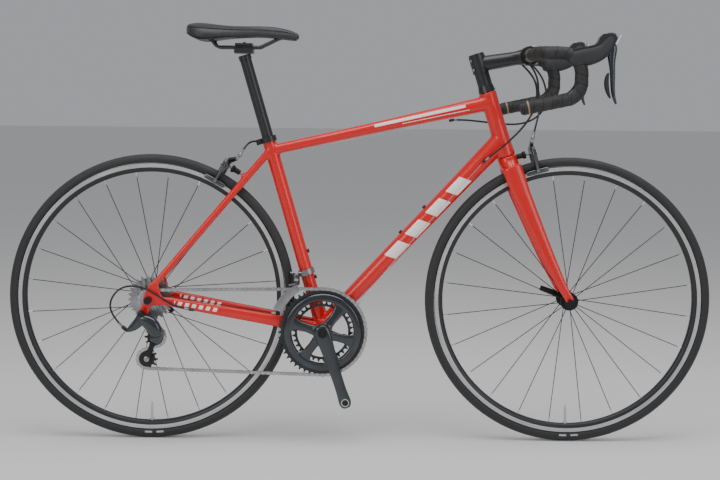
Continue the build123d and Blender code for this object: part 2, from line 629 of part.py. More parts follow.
def bar_points(start_y, side):
    """The bar's corners on one side, from start_y on the straight centre to the end of the drop."""
    hook = [Vector(x, side * BAR_DROP_Y, z) for x, z in BAR_CORNERS]
    return [point(BAR_CENTRE, side * start_y), point(BAR_CENTRE, side * BAR_DROP_Y)] + hook


def bar_tube(start_y, side, outer, inner):
    """One side of the bar, or of a sleeve around it."""
    path = FilletPolyline(*bar_points(start_y, side), radius=[44, 38, 58])
    return sweep(Plane(origin=path @ 0, x_dir=(0, 0, 1), z_dir=path % 0) * (Circle(outer) - Circle(inner)), path)


def make_handlebar():
    centre = point(BAR_CENTRE)
    thin, thick = BAR_RADIUS, BAR_CLAMP_RADIUS
    inner = thin - BAR_WALL
    bar = across(BAR_CENTRE, -45, 45, thick, thick - 2.4)
    for side in (-1, 1):
        plane = turned_between(centre + SIDE * (side * 45), centre + SIDE * (side * 60))
        end = Plane(origin=centre + SIDE * (side * 60), x_dir=plane.x_dir, z_dir=plane.z_dir)
        taper = loft([plane * Circle(thick), end * Circle(thin)])
        taper -= loft([plane * Circle(thick - 2.4), end * Circle(inner)])
        bar += taper + bar_tube(60, side, thin, inner)
    return bar


def make_tape():
    outer = BAR_RADIUS + TAPE_THICKNESS
    return [bar_tube(TAPE_START_Y, side, outer, BAR_RADIUS) for side in (-1, 1)]


HOOD = ((450, 914), (470, 920), (507.6, 927.5), (516, 936), (521, 948), (530, 957), (552, 957.5), (563, 948), (558, 932),
        (545, 914), (536, 896), (522, 889), (503, 880), (489, 875), (470, 880))


def make_hoods(tape):
    """The lever brackets, clamped to the bar, and the rubber hoods over them."""
    hoods, brackets = [], []
    for side in (-1, 1):
        y = side * BAR_DROP_Y
        hood = plate(HOOD, y - 16, y + 16)
        hollow = [(x + (508 - x) * 0.12, z + (915 - z) * 0.16) for x, z in HOOD]
        core = plate(hollow, y - 12, y + 12)
        slot = plate([(527, 960), (527, 893), (590, 880), (590, 960)], y - 10.4, y + 10.4)
        slot &= plate([(527, 925), (527, 880), (590, 880), (590, 960), (549, 960)], y - 10.4, y + 10.4)
        pin = across(LEVER_PIVOT, y - 12, y + 12, 2.5)
        hoods.append(largest(hood - core - slot - pin - tape[0] - tape[1]))
        brackets.append(largest(core - slot + pin - tape[0] - tape[1]))
    return bag(*hoods), bag(*brackets)


LEVER_FRONT = ((550, 932), (560, 930), (553, 905), (554.5, 881.6), (553.8, 850.8), (554.9, 815.7), (560.6, 795))
LEVER_BACK = ((555.5, 797), (549.9, 815.6), (546.4, 850.7), (544.5, 881.5), (541, 891), (533, 896), (529, 903), (534, 912),
              (541, 922))
PADDLE = ((543.0, 868), (536.0, 864), (529.4, 850.6), (529.5, 833.9), (534.5, 819.9), (547, 803), (548.6, 812),
          (545.0, 846))


def make_levers():
    """The brake blades and the shift paddles behind them."""
    for side, name in ((-1, "right"), (1, "left")):
        y = side * BAR_DROP_Y
        blade = plate(LEVER_FRONT + LEVER_BACK, y - 9, y + 9)
        blade -= across(LEVER_PIVOT, y - 20, y + 20, 2.5 + RUNNING_GAP)
        nodes["brake_lever_" + name] = largest(blade)
        paddle = plate(PADDLE, y - 8, y + 8)
        stem_hinge = rod(Vector(537.5, y, 861), Vector(541.5, y, 886), 3.0)
        paddle = paddle + stem_hinge
        room = plate([(x - PADDLE_GAP, z) for x, z in LEVER_FRONT + LEVER_BACK], y - 9.3, y + 9.3)
        nodes["shift_paddle_" + name] = largest(paddle - blade - room)


# ---- brakes

def brake_plane(centre, out, up, offset):
    """A plane square to the caliper's bolt, offset outwards, with x sideways and y up."""
    z_dir = SIDE.cross(up)
    return Plane(origin=centre + out * offset, x_dir=SIDE, z_dir=z_dir), (1 if z_dir.dot(out) > 0 else -1)


def caliper_arm(centre, out, up, offset, side, pivot_y):
    """One C-shaped arm, from its pivot round the tyre to its shoe. Side is where the shoe is."""
    plane, sense = brake_plane(centre, out, up, offset)
    shoe_y, shoe_z = RIM_WIDTH / 2 + SHOE_GAP, RIM_RADIUS - 5.0 - BRAKE_BOLT_RADIUS
    s = side
    outline = [(s * (pivot_y - 9), 9), (s * (pivot_y + 6), 10), (s * 27, 3), (s * 32, -12), (s * 29, -34),
               (s * 24, shoe_z - 7), (s * (shoe_y + 8), shoe_z - 7), (s * (shoe_y + 8), shoe_z + 8),
               (s * 21, shoe_z + 14), (s * 21.5, -14), (s * 17, -7), (s * (pivot_y - 9), -8)]
    arm = extrude(plane * make_face(Polyline(*outline, close=True)), 8 * sense)
    arm += extrude(plane * Pos(-s * 24, 26) * Rectangle(9, 10) if pivot_y == 0 else plane * Pos(s * 24, 12) *
                   Rectangle(9, 10), 8 * sense)
    if pivot_y == 0:
        reach = [(s * 5, 10), (-s * 20, 31), (-s * 28, 31), (-s * 28, 21), (-s * 19, 20), (-s * 3, 5)]
        arm += extrude(plane * make_face(Polyline(*reach, close=True)), 8 * sense)
    shoe_plane, _ = brake_plane(centre, out, up, 0)
    pad = extrude(shoe_plane * Pos(s * (shoe_y + 4), shoe_z) * Rectangle(8, 9.5), 26, both=True)
    return arm + pad


def make_brakes():
    """The front and rear dual-pivot calipers. Each arm is one node with its shoe."""
    for name, centre, out, up in (("front", FRONT_BRAKE_CENTRE, FRONT_BRAKE_OUT, FRONT_BRAKE_UP),
                                  ("rear", REAR_BRAKE_CENTRE, REAR_BRAKE_OUT, REAR_BRAKE_UP)):
        behind = caliper_arm(centre, out, up, -9.0, 1, 0)
        ahead = caliper_arm(centre, out, up, 0.4, -1, 14)
        bolt = rod(centre - out * BRAKE_REACH[name], centre + out * 13, BRAKE_BOLT)
        hole = rod(centre - out * 60, centre + out * 30, BRAKE_BOLT + RUNNING_GAP)
        nodes[name + "_brake_arm_left"] = largest(behind - hole)
        side_pivot = centre - SIDE * 14
        pivot_hole = rod(side_pivot - out * 9, side_pivot + out * 30, BRAKE_BOLT + RUNNING_GAP)
        nodes[name + "_brake_arm_right"] = largest(ahead - hole - pivot_hole)
        side_pin = rod(side_pivot + out * 0.4, side_pivot + out * 14, BRAKE_BOLT)
        bridge = rod(side_pivot + out * 12, centre + out * 12, BRAKE_BOLT)
        nodes[name + "_brake_bolt"] = bolt + side_pin + bridge


# ---- drive

def pitch_radius(teeth):
    return CHAIN_PITCH / 2 / math.sin(math.pi / teeth)


def sprocket(centre, teeth, y, bore, phase, thickness=TOOTH_THICKNESS):
    """A toothed disc. Phase is where a tooth valley sits, in degrees from forward towards up."""
    pitch = pitch_radius(teeth)
    plane = Plane(origin=(centre[0], y + thickness / 2, centre[1]), x_dir=(1, 0, 0), z_dir=(0, -1, 0))
    face = Circle(pitch + TOOTH_TIP) - Circle(bore)
    wide = TOOTH_VALLEY + 2 * TOOTH_FLARE
    mouth = make_face(Polyline((0, -TOOTH_VALLEY), (2 * TOOTH_TIP, -wide), (2 * TOOTH_TIP, wide), (0, TOOTH_VALLEY),
                               close=True))
    valley = Circle(TOOTH_VALLEY) + mouth
    valleys = [Rot(0, 0, phase + 360 / teeth * index) * Pos(pitch + 0.1, 0) * valley for index in range(teeth)]
    return extrude(plane * (face - valleys), thickness)


def turning_circle(centre, teeth, sense):
    """A wheel on the chain's path. Sense is 1 where the chain runs counter-clockwise round it."""
    return {"centre": centre, "radius": pitch_radius(teeth), "sense": sense, "teeth": teeth}


def tangent(first, last):
    """Where a belt leaves one wheel and meets the next, as angles about each."""
    dx, dz = last["centre"][0] - first["centre"][0], last["centre"][1] - first["centre"][1]
    gap = math.hypot(dx, dz)
    a, b = first["sense"] * first["radius"], last["sense"] * last["radius"]
    heading = math.atan2(dz, dx) + math.asin((b - a) / gap) * -1
    leave = heading - first["sense"] * math.pi / 2
    meet = heading - last["sense"] * math.pi / 2
    return leave, meet, math.sqrt(gap * gap - (b - a) ** 2)


def chain_path(cage_angle):
    """The chain's wheels and its length in links, for a cage angle in degrees."""
    a = math.radians(cage_angle)
    tension = (GUIDE_PULLEY[0] + PULLEY_SPACING * math.cos(a), GUIDE_PULLEY[1] + PULLEY_SPACING * math.sin(a))
    wheels = [turning_circle(BRACKET, OUTER_RING_TEETH, 1), turning_circle(REAR_AXLE, COG_TEETH[0], 1),
              turning_circle(GUIDE_PULLEY, PULLEY_TEETH, -1), turning_circle(tension, PULLEY_TEETH, 1)]
    spans = [tangent(wheels[index], wheels[(index + 1) % 4]) for index in range(4)]
    links = sum(span[2] for span in spans) / CHAIN_PITCH
    for index, wheel in enumerate(wheels):
        wheel["meet"], wheel["leave"] = spans[index - 1][1], spans[index][0]
        wheel["wrap"] = (wheel["sense"] * (wheel["leave"] - wheel["meet"])) % (2 * math.pi)
        links += wheel["wrap"] * wheel["teeth"] / (2 * math.pi)
    return wheels, spans, links


def settle_cage():
    """The cage angle near the guess at which the chain has a whole, even number of links."""
    wanted = 2 * round(chain_path(CAGE_ANGLE_GUESS)[2] / 2)
    low, high = CAGE_ANGLE_GUESS - 25, CAGE_ANGLE_GUESS + 25
    rising = chain_path(high)[2] > chain_path(low)[2]
    for _ in range(60):
        middle = (low + high) / 2
        if (chain_path(middle)[2] > wanted) == rising:
            high = middle
        else:
            low = middle
    return (low + high) / 2, wanted


CAGE_ANGLE, CHAIN_LINKS = settle_cage()
CHAIN_WHEELS, CHAIN_SPANS, _ = chain_path(CAGE_ANGLE)
TENSION_PULLEY = CHAIN_WHEELS[3]["centre"]
WHEEL_Y = (OUTER_RING_Y, COG_Y, COG_Y, COG_Y)


def pin_at(position):
    """The place of a chain pin, position links along the path, where 0 is where the ring is left."""
    position %= CHAIN_LINKS
    for index in range(4):
        first, last = CHAIN_WHEELS[index], CHAIN_WHEELS[(index + 1) % 4]
        span = CHAIN_SPANS[index][2] / CHAIN_PITCH
        if position <= span:
            share = position / span
            start, end = wheel_point(first, first["leave"]), wheel_point(last, last["meet"])
            drift = share
            if span > 3 * HELD_LINKS:
                drift = min(max((position - HELD_LINKS) / (span - 2 * HELD_LINKS), 0), 1)
            y = WHEEL_Y[index] + (WHEEL_Y[(index + 1) % 4] - WHEEL_Y[index]) * drift
            return Vector(start[0] + (end[0] - start[0]) * share, y, start[1] + (end[1] - start[1]) * share)
        position -= span
        wrap = last["wrap"] * last["teeth"] / (2 * math.pi)
        if position <= wrap:
            angle = last["meet"] + last["sense"] * position * 2 * math.pi / last["teeth"]
            x, z = wheel_point(last, angle)
            return Vector(x, WHEEL_Y[(index + 1) % 4], z)
        position -= wrap
    return pin_at(0)


def wheel_point(wheel, angle):
    x, z = wheel["centre"]
    return x + wheel["radius"] * math.cos(angle), z + wheel["radius"] * math.sin(angle)


def valley_phase(index):
    """The direction of a tooth valley on a wheel of the chain's path, so that pins seat in it."""
    wheel = CHAIN_WHEELS[index]
    before = sum(CHAIN_SPANS[k][2] / CHAIN_PITCH for k in range(4 if index == 0 else index))
    before += sum(CHAIN_WHEELS[k]["wrap"] * CHAIN_WHEELS[k]["teeth"] / (2 * math.pi) for k in range(1, index or 4))
    first_pin = math.ceil(before) - before
    return math.degrees(wheel["meet"] + wheel["sense"] * first_pin * 2 * math.pi / wheel["teeth"])


def chain_link(plate_y, inner):
    """A link along +X. Inner links carry rollers and outer links carry the pins."""
    side = SlotCenterToCenter(CHAIN_PITCH, 8.2) - SlotOverall(7.0, 2.0)
    link = extrude(Plane.XY.offset(plate_y) * side, PLATE_THICKNESS)
    link += extrude(Plane.XY.offset(-plate_y - PLATE_THICKNESS) * side, PLATE_THICKNESS)
    for x in (-CHAIN_PITCH / 2, CHAIN_PITCH / 2):
        if inner:
            link += Pos(x, 0, 0) * Cylinder(ROLLER_RADIUS, 2 * plate_y)
            link -= Pos(x, 0, 0) * Cylinder(PIN_RADIUS + RUNNING_GAP, 20)
        else:
            link += Pos(x, 0, 0) * Cylinder(PIN_RADIUS, 2 * plate_y)
    return link


def make_chain():
    inner, outer = chain_link(INNER_PLATE_Y, True), chain_link(OUTER_PLATE_Y, False)
    made = []
    for index in range(CHAIN_LINKS):
        a, b = pin_at(index), pin_at(index + 1)
        along = (b - a).normalized()
        plane = Plane(origin=(a + b) / 2, x_dir=along, z_dir=(SIDE - along * SIDE.dot(along)).normalized())
        made.append(plane.location * (outer if index % 2 else inner))
    return bag(*made)


def make_cassette():
    """The freehub body with ten cogs and the lockring."""
    body = across(REAR_AXLE, -62.5, -23.0, FREEHUB_RADIUS, AXLE_RADIUS + RUNNING_GAP)
    cogs = []
    for index, teeth in enumerate(COG_TEETH):
        phase = valley_phase(1) if index == 0 else 7.0 * index
        cogs.append(sprocket(REAR_AXLE, teeth, COG_Y + COG_STEP * index, FREEHUB_RADIUS, phase))
    steps = [COG_Y + COG_STEP * (index + 1) for index in range(len(COG_TEETH) - 1)]
    spacers = [across(REAR_AXLE, y - 2.9, y - 1.05, SPACER_RADIUS, FREEHUB_RADIUS) for y in steps]
    return bag(body, *cogs, *spacers)


def make_chainrings():
    """The two rings and the four bolts that hold them to the spider."""
    outer = sprocket(BRACKET, OUTER_RING_TEETH, OUTER_RING_Y, OUTER_RING_BORE, valley_phase(0))
    inner = sprocket(BRACKET, INNER_RING_TEETH, INNER_RING_Y, INNER_RING_BORE, 3.0)
    outer += ring_tabs(OUTER_RING_Y, OUTER_RING_BORE)
    inner += ring_tabs(INNER_RING_Y, INNER_RING_BORE)
    bolts = []
    for x, z in bolt_places():
        outer -= across((x, z), -60, -30, 4.0)
        inner -= across((x, z), -60, -30, 4.0)
        bolts.append(across((x, z), INNER_RING_Y - 1, INNER_RING_Y + 3, 6) + across((x, z), -56.2, INNER_RING_Y, 4.0))
        bolts[-1] = bolts[-1] - across((x, z), INNER_RING_Y - 1, INNER_RING_Y + 1.0, 9, 4.0)
    return bag(outer, inner, *bolts)


def ring_tabs(y, bore):
    """The four ears that carry a ring to its bolts."""
    ears = []
    for x, z in bolt_places():
        along = (point((x, z)) - point(BRACKET)).normalized()
        start = point(BRACKET, y) + along * 47
        section = turned_between(start, start + along) * Rectangle(TOOTH_THICKNESS, RING_TAB_WIDTH)
        ears.append(extrude(section, bore - 46))
    return ears


def bolt_places():
    """The chainring bolts' centres, on a 110 mm circle, in two pairs about the crank arm."""
    places = []
    for offset in (-125, -55, 55, 125):
        a = math.radians(CRANK_ANGLE + offset)
        places.append((BRACKET[0] + 55 * math.cos(a), BRACKET[1] + 55 * math.sin(a)))
    return places


def crank_arm(side, angle, inside, outside):
    """A tapered arm with its hub and pedal boss. Inside and outside are distances from the middle."""
    a = math.radians(angle)
    along = Vector(math.cos(a), 0, math.sin(a))
    start, end = point(BRACKET), point(BRACKET) + along * CRANK_LENGTH
    low, high = sorted((side * inside, side * outside))
    middle = side * (outside - 7.5)
    plane = Plane(origin=start + SIDE * middle, x_dir=SIDE, z_dir=along)
    tip = Plane(origin=end + SIDE * middle, x_dir=SIDE, z_dir=along)
    arm = loft([plane * RectangleRounded(15, 32, 4), tip * RectangleRounded(13, 23, 4)])
    arm += across(BRACKET, low, high, 19)
    boss = (end.X, end.Z)
    arm += across(boss, min(middle - 7, middle + 7), max(middle - 7, middle + 7), 12.5)
    return arm - across(boss, low - 40, high + 40, PEDAL_BORE)


def make_cranks():
    right = crank_arm(-1, CRANK_ANGLE, 53.0, 74.0)
    for x, z in bolt_places():
        along = (point((x, z)) - point(BRACKET)).normalized()
        plane = Plane(origin=point(BRACKET, -52.6), x_dir=SIDE, z_dir=along)
        tip = Plane(origin=point((x, z), -52.6), x_dir=SIDE, z_dir=along)
        right += loft([plane * Rectangle(7, 24), tip * Rectangle(7, 15)])
        right += across((x, z), -56.1, -49.05, 8.5)
    for x, z in bolt_places():
        right -= across((x, z), -70, -40, 4.0)
    right -= across(BRACKET, -53.0, -40, 60)
    for x, z in bolt_places():
        right += across((x, z), -53.5, -49.05, 8.5, 4.0)
    right -= across(BRACKET, -66, -40, SPINDLE_RADIUS)
    spindle = across(BRACKET, -66, 60, SPINDLE_RADIUS, 9.5)
    left = crank_arm(1, CRANK_ANGLE + 180, 53.0, 74.0) - across(BRACKET, 50, 60.1, SPINDLE_RADIUS)
    return bag(largest(right), spindle), largest(left)


# ---- derailleurs

FD_PIVOT = (-141.0, 397.0)
FD_Y = -24.0


def make_front_derailleur():
    """The clamp band with its fixed body, and the cage that swings over the rings."""
    share = (FD_PIVOT[1] - BRACKET[1]) / (SEAT_TUBE_TOP[1] - BRACKET[1])
    axis_point = point(BRACKET) + (point(SEAT_TUBE_TOP) - point(BRACKET)) * share
    band = ring(axis_point - SEAT_UP * 6, SEAT_UP, SEAT_TUBE_RADIUS + 3, SEAT_TUBE_RADIUS, 13)
    block = Pos(FD_PIVOT[0] + 12, FD_Y + 2, FD_PIVOT[1]) * Box(12, 16, 14)
    pin = rod(Vector(FD_PIVOT[0] - 22, FD_Y, FD_PIVOT[1]), Vector(FD_PIVOT[0] + 12, FD_Y, FD_PIVOT[1]), 2.5)
    seat = rod(axis_point - SEAT_UP * 40, axis_point + SEAT_UP * 40, SEAT_TUBE_RADIUS)
    mount = largest(band + block + pin - seat)

    link = Pos(FD_PIVOT[0] - 8, FD_Y, FD_PIVOT[1]) * Box(26, 10, 10)
    link += plate([(-158, 398), (-140, 398), (-140, 366), (-158, 366)], FD_Y - 10, FD_Y - 4)
    link += Pos(-149, FD_Y - 16, 373) * Box(18, 18, 6)
    cage = [(-133, 372), (-166, 376), (-190, 356), (-200, 316), (-186, 312), (-170, 336), (-136, 352)]
    outside = plate(cage, -57.5, -56.0)
    inside = plate(cage, -44.3, -42.8)
    top = plate([(-150, 377), (-150, 369.5), (-166, 371), (-166, 378)], -57.5, -34)
    tail = plate([(-188, 315), (-199, 317), (-196, 322), (-186, 320)], -57.5, -42.8)
    hole = rod(Vector(FD_PIVOT[0] - 40, FD_Y, FD_PIVOT[1]), Vector(FD_PIVOT[0] + 40, FD_Y, FD_PIVOT[1]),
               2.5 + RUNNING_GAP)
    return mount, largest(link + outside + inside + top + tail - hole)


LINK_START = Vector(-499.0, -82.0, 300.0)
LINK_END = Vector(-476.0, -82.0, 258.0)
LINK_ALONG = (LINK_END - LINK_START).normalized()
LINK_AXIS = Vector(-LINK_ALONG.Z, 0, LINK_ALONG.X)
LINK_SWING = 26.0           # degrees from the smallest cog to the largest


def swept_room(origin, sense):
    """The space that the link needs beside a knuckle as it swings."""
    plane = Plane(origin=origin, x_dir=LINK_AXIS, z_dir=LINK_ALONG * sense)
    room = extrude(plane * Rectangle(14.8, 10), 40)
    hinge = Axis((origin.X, origin.Y, origin.Z), (LINK_AXIS.X, LINK_AXIS.Y, LINK_AXIS.Z))
    rooms = [room.rotate(hinge, LINK_SWING * step / 4) for step in range(5)]
    return [rod(origin - LINK_AXIS * 7.4, origin + LINK_AXIS * 7.4, 7.6)] + rooms


def make_rear_derailleur():
    """The bracket knuckle, the parallelogram link, the lower knuckle, the cage and two pulleys."""
    face = -REAR_HUB_WIDTH / 2 - DROPOUT_THICKNESS - BODY_GAP
    knuckle = across(HANGER_BOLT, -94, face, 11.5)
    ears = (LINK_START - LINK_AXIS * 12, LINK_START + LINK_AXIS * 12)
    body = knuckle + rod(*ears, 6)
    for room in swept_room(LINK_START, 1):
        body -= room
    bolt = across(HANGER_BOLT, -74, -REAR_HUB_WIDTH / 2, 5.0 - RUNNING_GAP)
    nodes["rear_derailleur_body"] = largest(body + rod(*ears, 2.4) + bolt)

    link = rod(LINK_START - LINK_AXIS * 7, LINK_START + LINK_AXIS * 7, 5.6)
    link += rod(LINK_END - LINK_AXIS * 7, LINK_END + LINK_AXIS * 7, 5.6)
    plane = Plane(origin=LINK_START, x_dir=LINK_AXIS, z_dir=LINK_ALONG)
    link += extrude(plane * RectangleRounded(13.6, 8, 2), (LINK_END - LINK_START).length)
    for end in (LINK_START, LINK_END):
        link -= rod(end - LINK_AXIS * 20, end + LINK_AXIS * 20, 2.4 + RUNNING_GAP)
    nodes["rear_derailleur_link"] = largest(link)

    cage_side = COG_Y - 6.8
    ears = (LINK_END - LINK_AXIS * 12, LINK_END + LINK_AXIS * 12)
    lower = across(GUIDE_PULLEY, -94, cage_side - BODY_GAP, 11) + rod(*ears, 6)
    for room in swept_room(LINK_END, -1):
        lower -= room
    lower -= across(GUIDE_PULLEY, cage_side - 6, cage_side, 6 + RUNNING_GAP)
    nodes["rear_derailleur_knuckle"] = largest(lower + rod(*ears, 2.4))

    a = math.radians(CAGE_ANGLE)
    along = Vector(math.cos(a), 0, math.sin(a))
    middle = point(GUIDE_PULLEY) + along * (PULLEY_SPACING / 2)
    plane = Plane(origin=middle, x_dir=along, z_dir=(0, -1, 0))
    blade = SlotCenterToCenter(PULLEY_SPACING, 17)
    cage = extrude(plane.offset(-COG_Y + 5.2) * blade, 1.6)
    cage += extrude(plane.offset(-COG_Y - 6.8) * blade, 1.6)
    for centre in (GUIDE_PULLEY, TENSION_PULLEY):
        cage += across(centre, COG_Y - 6.8, COG_Y + 6.8, 2.5)
    cage += across(GUIDE_PULLEY, cage_side - 5.6, cage_side, 6)
    nodes["rear_derailleur_cage"] = largest(cage)
    for name, centre, index in (("guide_pulley", GUIDE_PULLEY, 2), ("tension_pulley", TENSION_PULLEY, 3)):
        wheel = sprocket(centre, PULLEY_TEETH, COG_Y, 2.5 + RUNNING_GAP, valley_phase(index))
        nodes[name] = wheel + across(centre, COG_Y - 4, COG_Y + 4, 7, 2.5 + RUNNING_GAP)


# ---- cables

def cord(points, radius):
    """A round cable along straight runs joined by the largest arcs that the runs allow."""
    points = [Vector(*p) for p in points]
    radii = []
    for before, corner, after in zip(points, points[1:], points[2:]):
        turn = math.radians((corner - before).get_angle(after - corner))
        radii.append(0.45 * min((corner - before).length, (after - corner).length) / math.tan(turn / 2))
    print("cable radii", [round(r) for r in radii])
    path = FilletPolyline(*points, radius=radii)
    return sweep(Plane(origin=path @ 0, z_dir=path % 0) * Circle(radius), path)


def make_cables():
    """The flexible housings, and the bare wires that run along the frame."""
    housings = [cord(route, HOUSING_RADIUS) for route in HOUSING_ROUTES]
    wires = [cord(route, WIRE_RADIUS) for route in WIRE_ROUTES]
    return bag(*housings), bag(*wires)


def make_wheels():
    """Both wheels with their axles and quick-release levers."""
    nodes["front_hub"] = make_front_hub()
    nodes["rear_hub"] = make_rear_hub()
    nodes["front_spokes"] = front_spokes()
    nodes["rear_spokes"] = rear_spokes()
    for name, centre in (("front", FRONT_AXLE), ("rear", REAR_AXLE)):
        nodes[name + "_rim"] = make_rim(centre)
        nodes[name + "_tyre"] = make_tyre(centre)
    nodes["front_axle"] = make_axle(FRONT_AXLE, FRONT_HUB_WIDTH / 2, 9)
    nodes["rear_axle"] = make_axle(REAR_AXLE, REAR_HUB_WIDTH / 2, 10)
    nodes["front_quick_release"] = quick_release(FRONT_AXLE, FRONT_HUB_WIDTH / 2, 160, 58)
    nodes["rear_quick_release"] = quick_release(REAR_AXLE, REAR_HUB_WIDTH / 2, -52, 62)
    nodes["cassette"] = make_cassette()


def make_cockpit():
    nodes["fork"] = make_fork()
    nodes["headset_cover"] = make_headset_cover()
    nodes["stem"], nodes["stem_faceplate"] = make_stem()
    nodes["handlebar"] = make_handlebar()
    tape = make_tape()
    nodes["bar_tape"] = bag(*tape)
    sleeves = [bar_tube(TAPE_START_Y, side, BAR_RADIUS + TAPE_THICKNESS, 0.5) for side in (-1, 1)]
    nodes["brake_hoods"], nodes["lever_brackets"] = make_hoods(sleeves)
    make_levers()


def main():
    make_wheels()
    make_frame()
    nodes["frame_fittings"] = make_frame_fittings()
    nodes["bearings"] = make_bearings()
    make_seat()
    make_cockpit()
    make_brakes()
    nodes["crank_right"], nodes["crank_left"] = make_cranks()
    nodes["chainrings"] = make_chainrings()
    nodes["chain"] = make_chain()
    nodes["front_derailleur_mount"], nodes["front_derailleur_cage"] = make_front_derailleur()
    make_rear_derailleur()
    nodes["cable_housings"], nodes["cable_wires"] = make_cables()
    print("links", CHAIN_LINKS, "cage", round(CAGE_ANGLE, 2), "tension pulley", TENSION_PULLEY)
    os.makedirs("parts", exist_ok=True)
    for name, shape in nodes.items():
        export_step(shape, f"parts/{name}.step")


main()
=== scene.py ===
"""A road bicycle with a red frame, built piece by piece around its packed design."""

import logging
import math
from dataclasses import dataclass, field
from enum import Enum

import bmesh
import bpy
from mathutils import Matrix, Vector

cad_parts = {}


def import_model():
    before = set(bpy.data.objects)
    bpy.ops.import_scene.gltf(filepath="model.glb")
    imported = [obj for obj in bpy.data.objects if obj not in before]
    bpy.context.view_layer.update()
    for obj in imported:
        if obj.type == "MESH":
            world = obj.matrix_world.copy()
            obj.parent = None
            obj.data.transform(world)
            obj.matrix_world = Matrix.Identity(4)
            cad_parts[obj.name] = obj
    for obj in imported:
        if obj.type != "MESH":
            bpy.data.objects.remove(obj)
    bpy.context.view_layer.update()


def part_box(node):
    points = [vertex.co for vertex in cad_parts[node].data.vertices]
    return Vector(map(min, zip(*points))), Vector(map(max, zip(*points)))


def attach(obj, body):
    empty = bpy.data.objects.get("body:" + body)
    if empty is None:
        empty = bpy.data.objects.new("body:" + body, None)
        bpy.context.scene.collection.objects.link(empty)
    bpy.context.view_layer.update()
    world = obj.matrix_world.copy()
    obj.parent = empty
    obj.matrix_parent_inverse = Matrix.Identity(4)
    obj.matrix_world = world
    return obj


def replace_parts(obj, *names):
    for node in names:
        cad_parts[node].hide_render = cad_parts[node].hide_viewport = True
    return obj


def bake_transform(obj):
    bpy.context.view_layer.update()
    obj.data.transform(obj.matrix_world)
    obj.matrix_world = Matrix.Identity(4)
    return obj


LOG = logging.getLogger("bicycle")
Colour = tuple[float, float, float]
SIDE = Vector((0.0, 1.0, 0.0))
MM = 0.001
HEAD_TOP = (294.7, 823.9)  # (x, z) in millimetres, as the four below
HEAD_BOTTOM = (341.8, 673.7)
BRACKET = (-86.1, 261.7)
GUIDE_PULLEY = (-474.0, 249.0)
TENSION_PULLEY = (-493.421, 198.078)


def mm(x: float, y: float, z: float) -> Vector:
    """A point given in millimetres, in metres."""
    return Vector((x, y, z)) * MM


def middle(place: tuple[float, float], y: float = 0.0) -> Vector:
    """A point given by its (x, z) and a sideways y in millimetres, in metres."""
    return mm(place[0], y, place[1])


def steering_axis() -> Vector:
    """The direction of the steering axis, upwards."""
    return (middle(HEAD_TOP) - middle(HEAD_BOTTOM)).normalized()


# ---------------------------------------------------------------- finishes


class Signal:
    """A number that varies over a surface, with arithmetic that adds Math nodes."""

    def __init__(self, tree: bpy.types.NodeTree, socket: bpy.types.NodeSocket) -> None:
        """Wrap an output socket of a material's node tree."""
        self.tree = tree
        self.socket = socket

    def maths(self, operation: str, *others: "Signal | float", clamp: bool = False) -> "Signal":
        """Add one Math node.

        Args:
            operation: the Math node's operation.
            others: the values or signals of the other sockets.
            clamp: whether the result stays between 0 and 1.

        Returns:
            The node's result.
        """
        node = self.tree.nodes.new("ShaderNodeMath")
        node.operation = operation
        node.use_clamp = clamp
        self.tree.links.new(self.socket, node.inputs[0])
        for index, other in enumerate(others, start=1):
            if isinstance(other, Signal):
                self.tree.links.new(other.socket, node.inputs[index])
            else:
                node.inputs[index].default_value = other
        return Signal(self.tree, node.outputs[0])

    def __add__(self, other: "Signal | float") -> "Signal":
        """Add."""
        return self.maths("ADD", other)

    __radd__ = __add__

    def __mul__(self, other: "Signal | float") -> "Signal":
        """Multiply."""
        return self.maths("MULTIPLY", other)

    __rmul__ = __mul__

    def __sub__(self, other: "Signal | float") -> "Signal":
        """Subtract."""
        return self.maths("SUBTRACT", other)

    def __rsub__(self, other: float) -> "Signal":
        """Subtract from a number."""
        return (self * -1.0) + other

    def __gt__(self, other: float) -> "Signal":
        """1 where the signal is greater."""
        return self.maths("GREATER_THAN", other)

    def __lt__(self, other: float) -> "Signal":
        """1 where the signal is less."""
        return self.maths("LESS_THAN", other)

    def step(self, low: float, high: float) -> "Signal":
        """A smooth ramp from 0 at low to 1 at high."""
        return ((self - low) * (1.0 / (high - low))).maths("MULTIPLY", 1.0, clamp=True)

    def within(self, low: float, high: float) -> "Signal":
        """1 between two values and 0 outside them."""
        return (self > low) * (self < high)

    def wave(self, turns: float) -> "Signal":
        """A sine of so many radians a unit, from -1 to 1."""
        return (self * turns).maths("SINE")


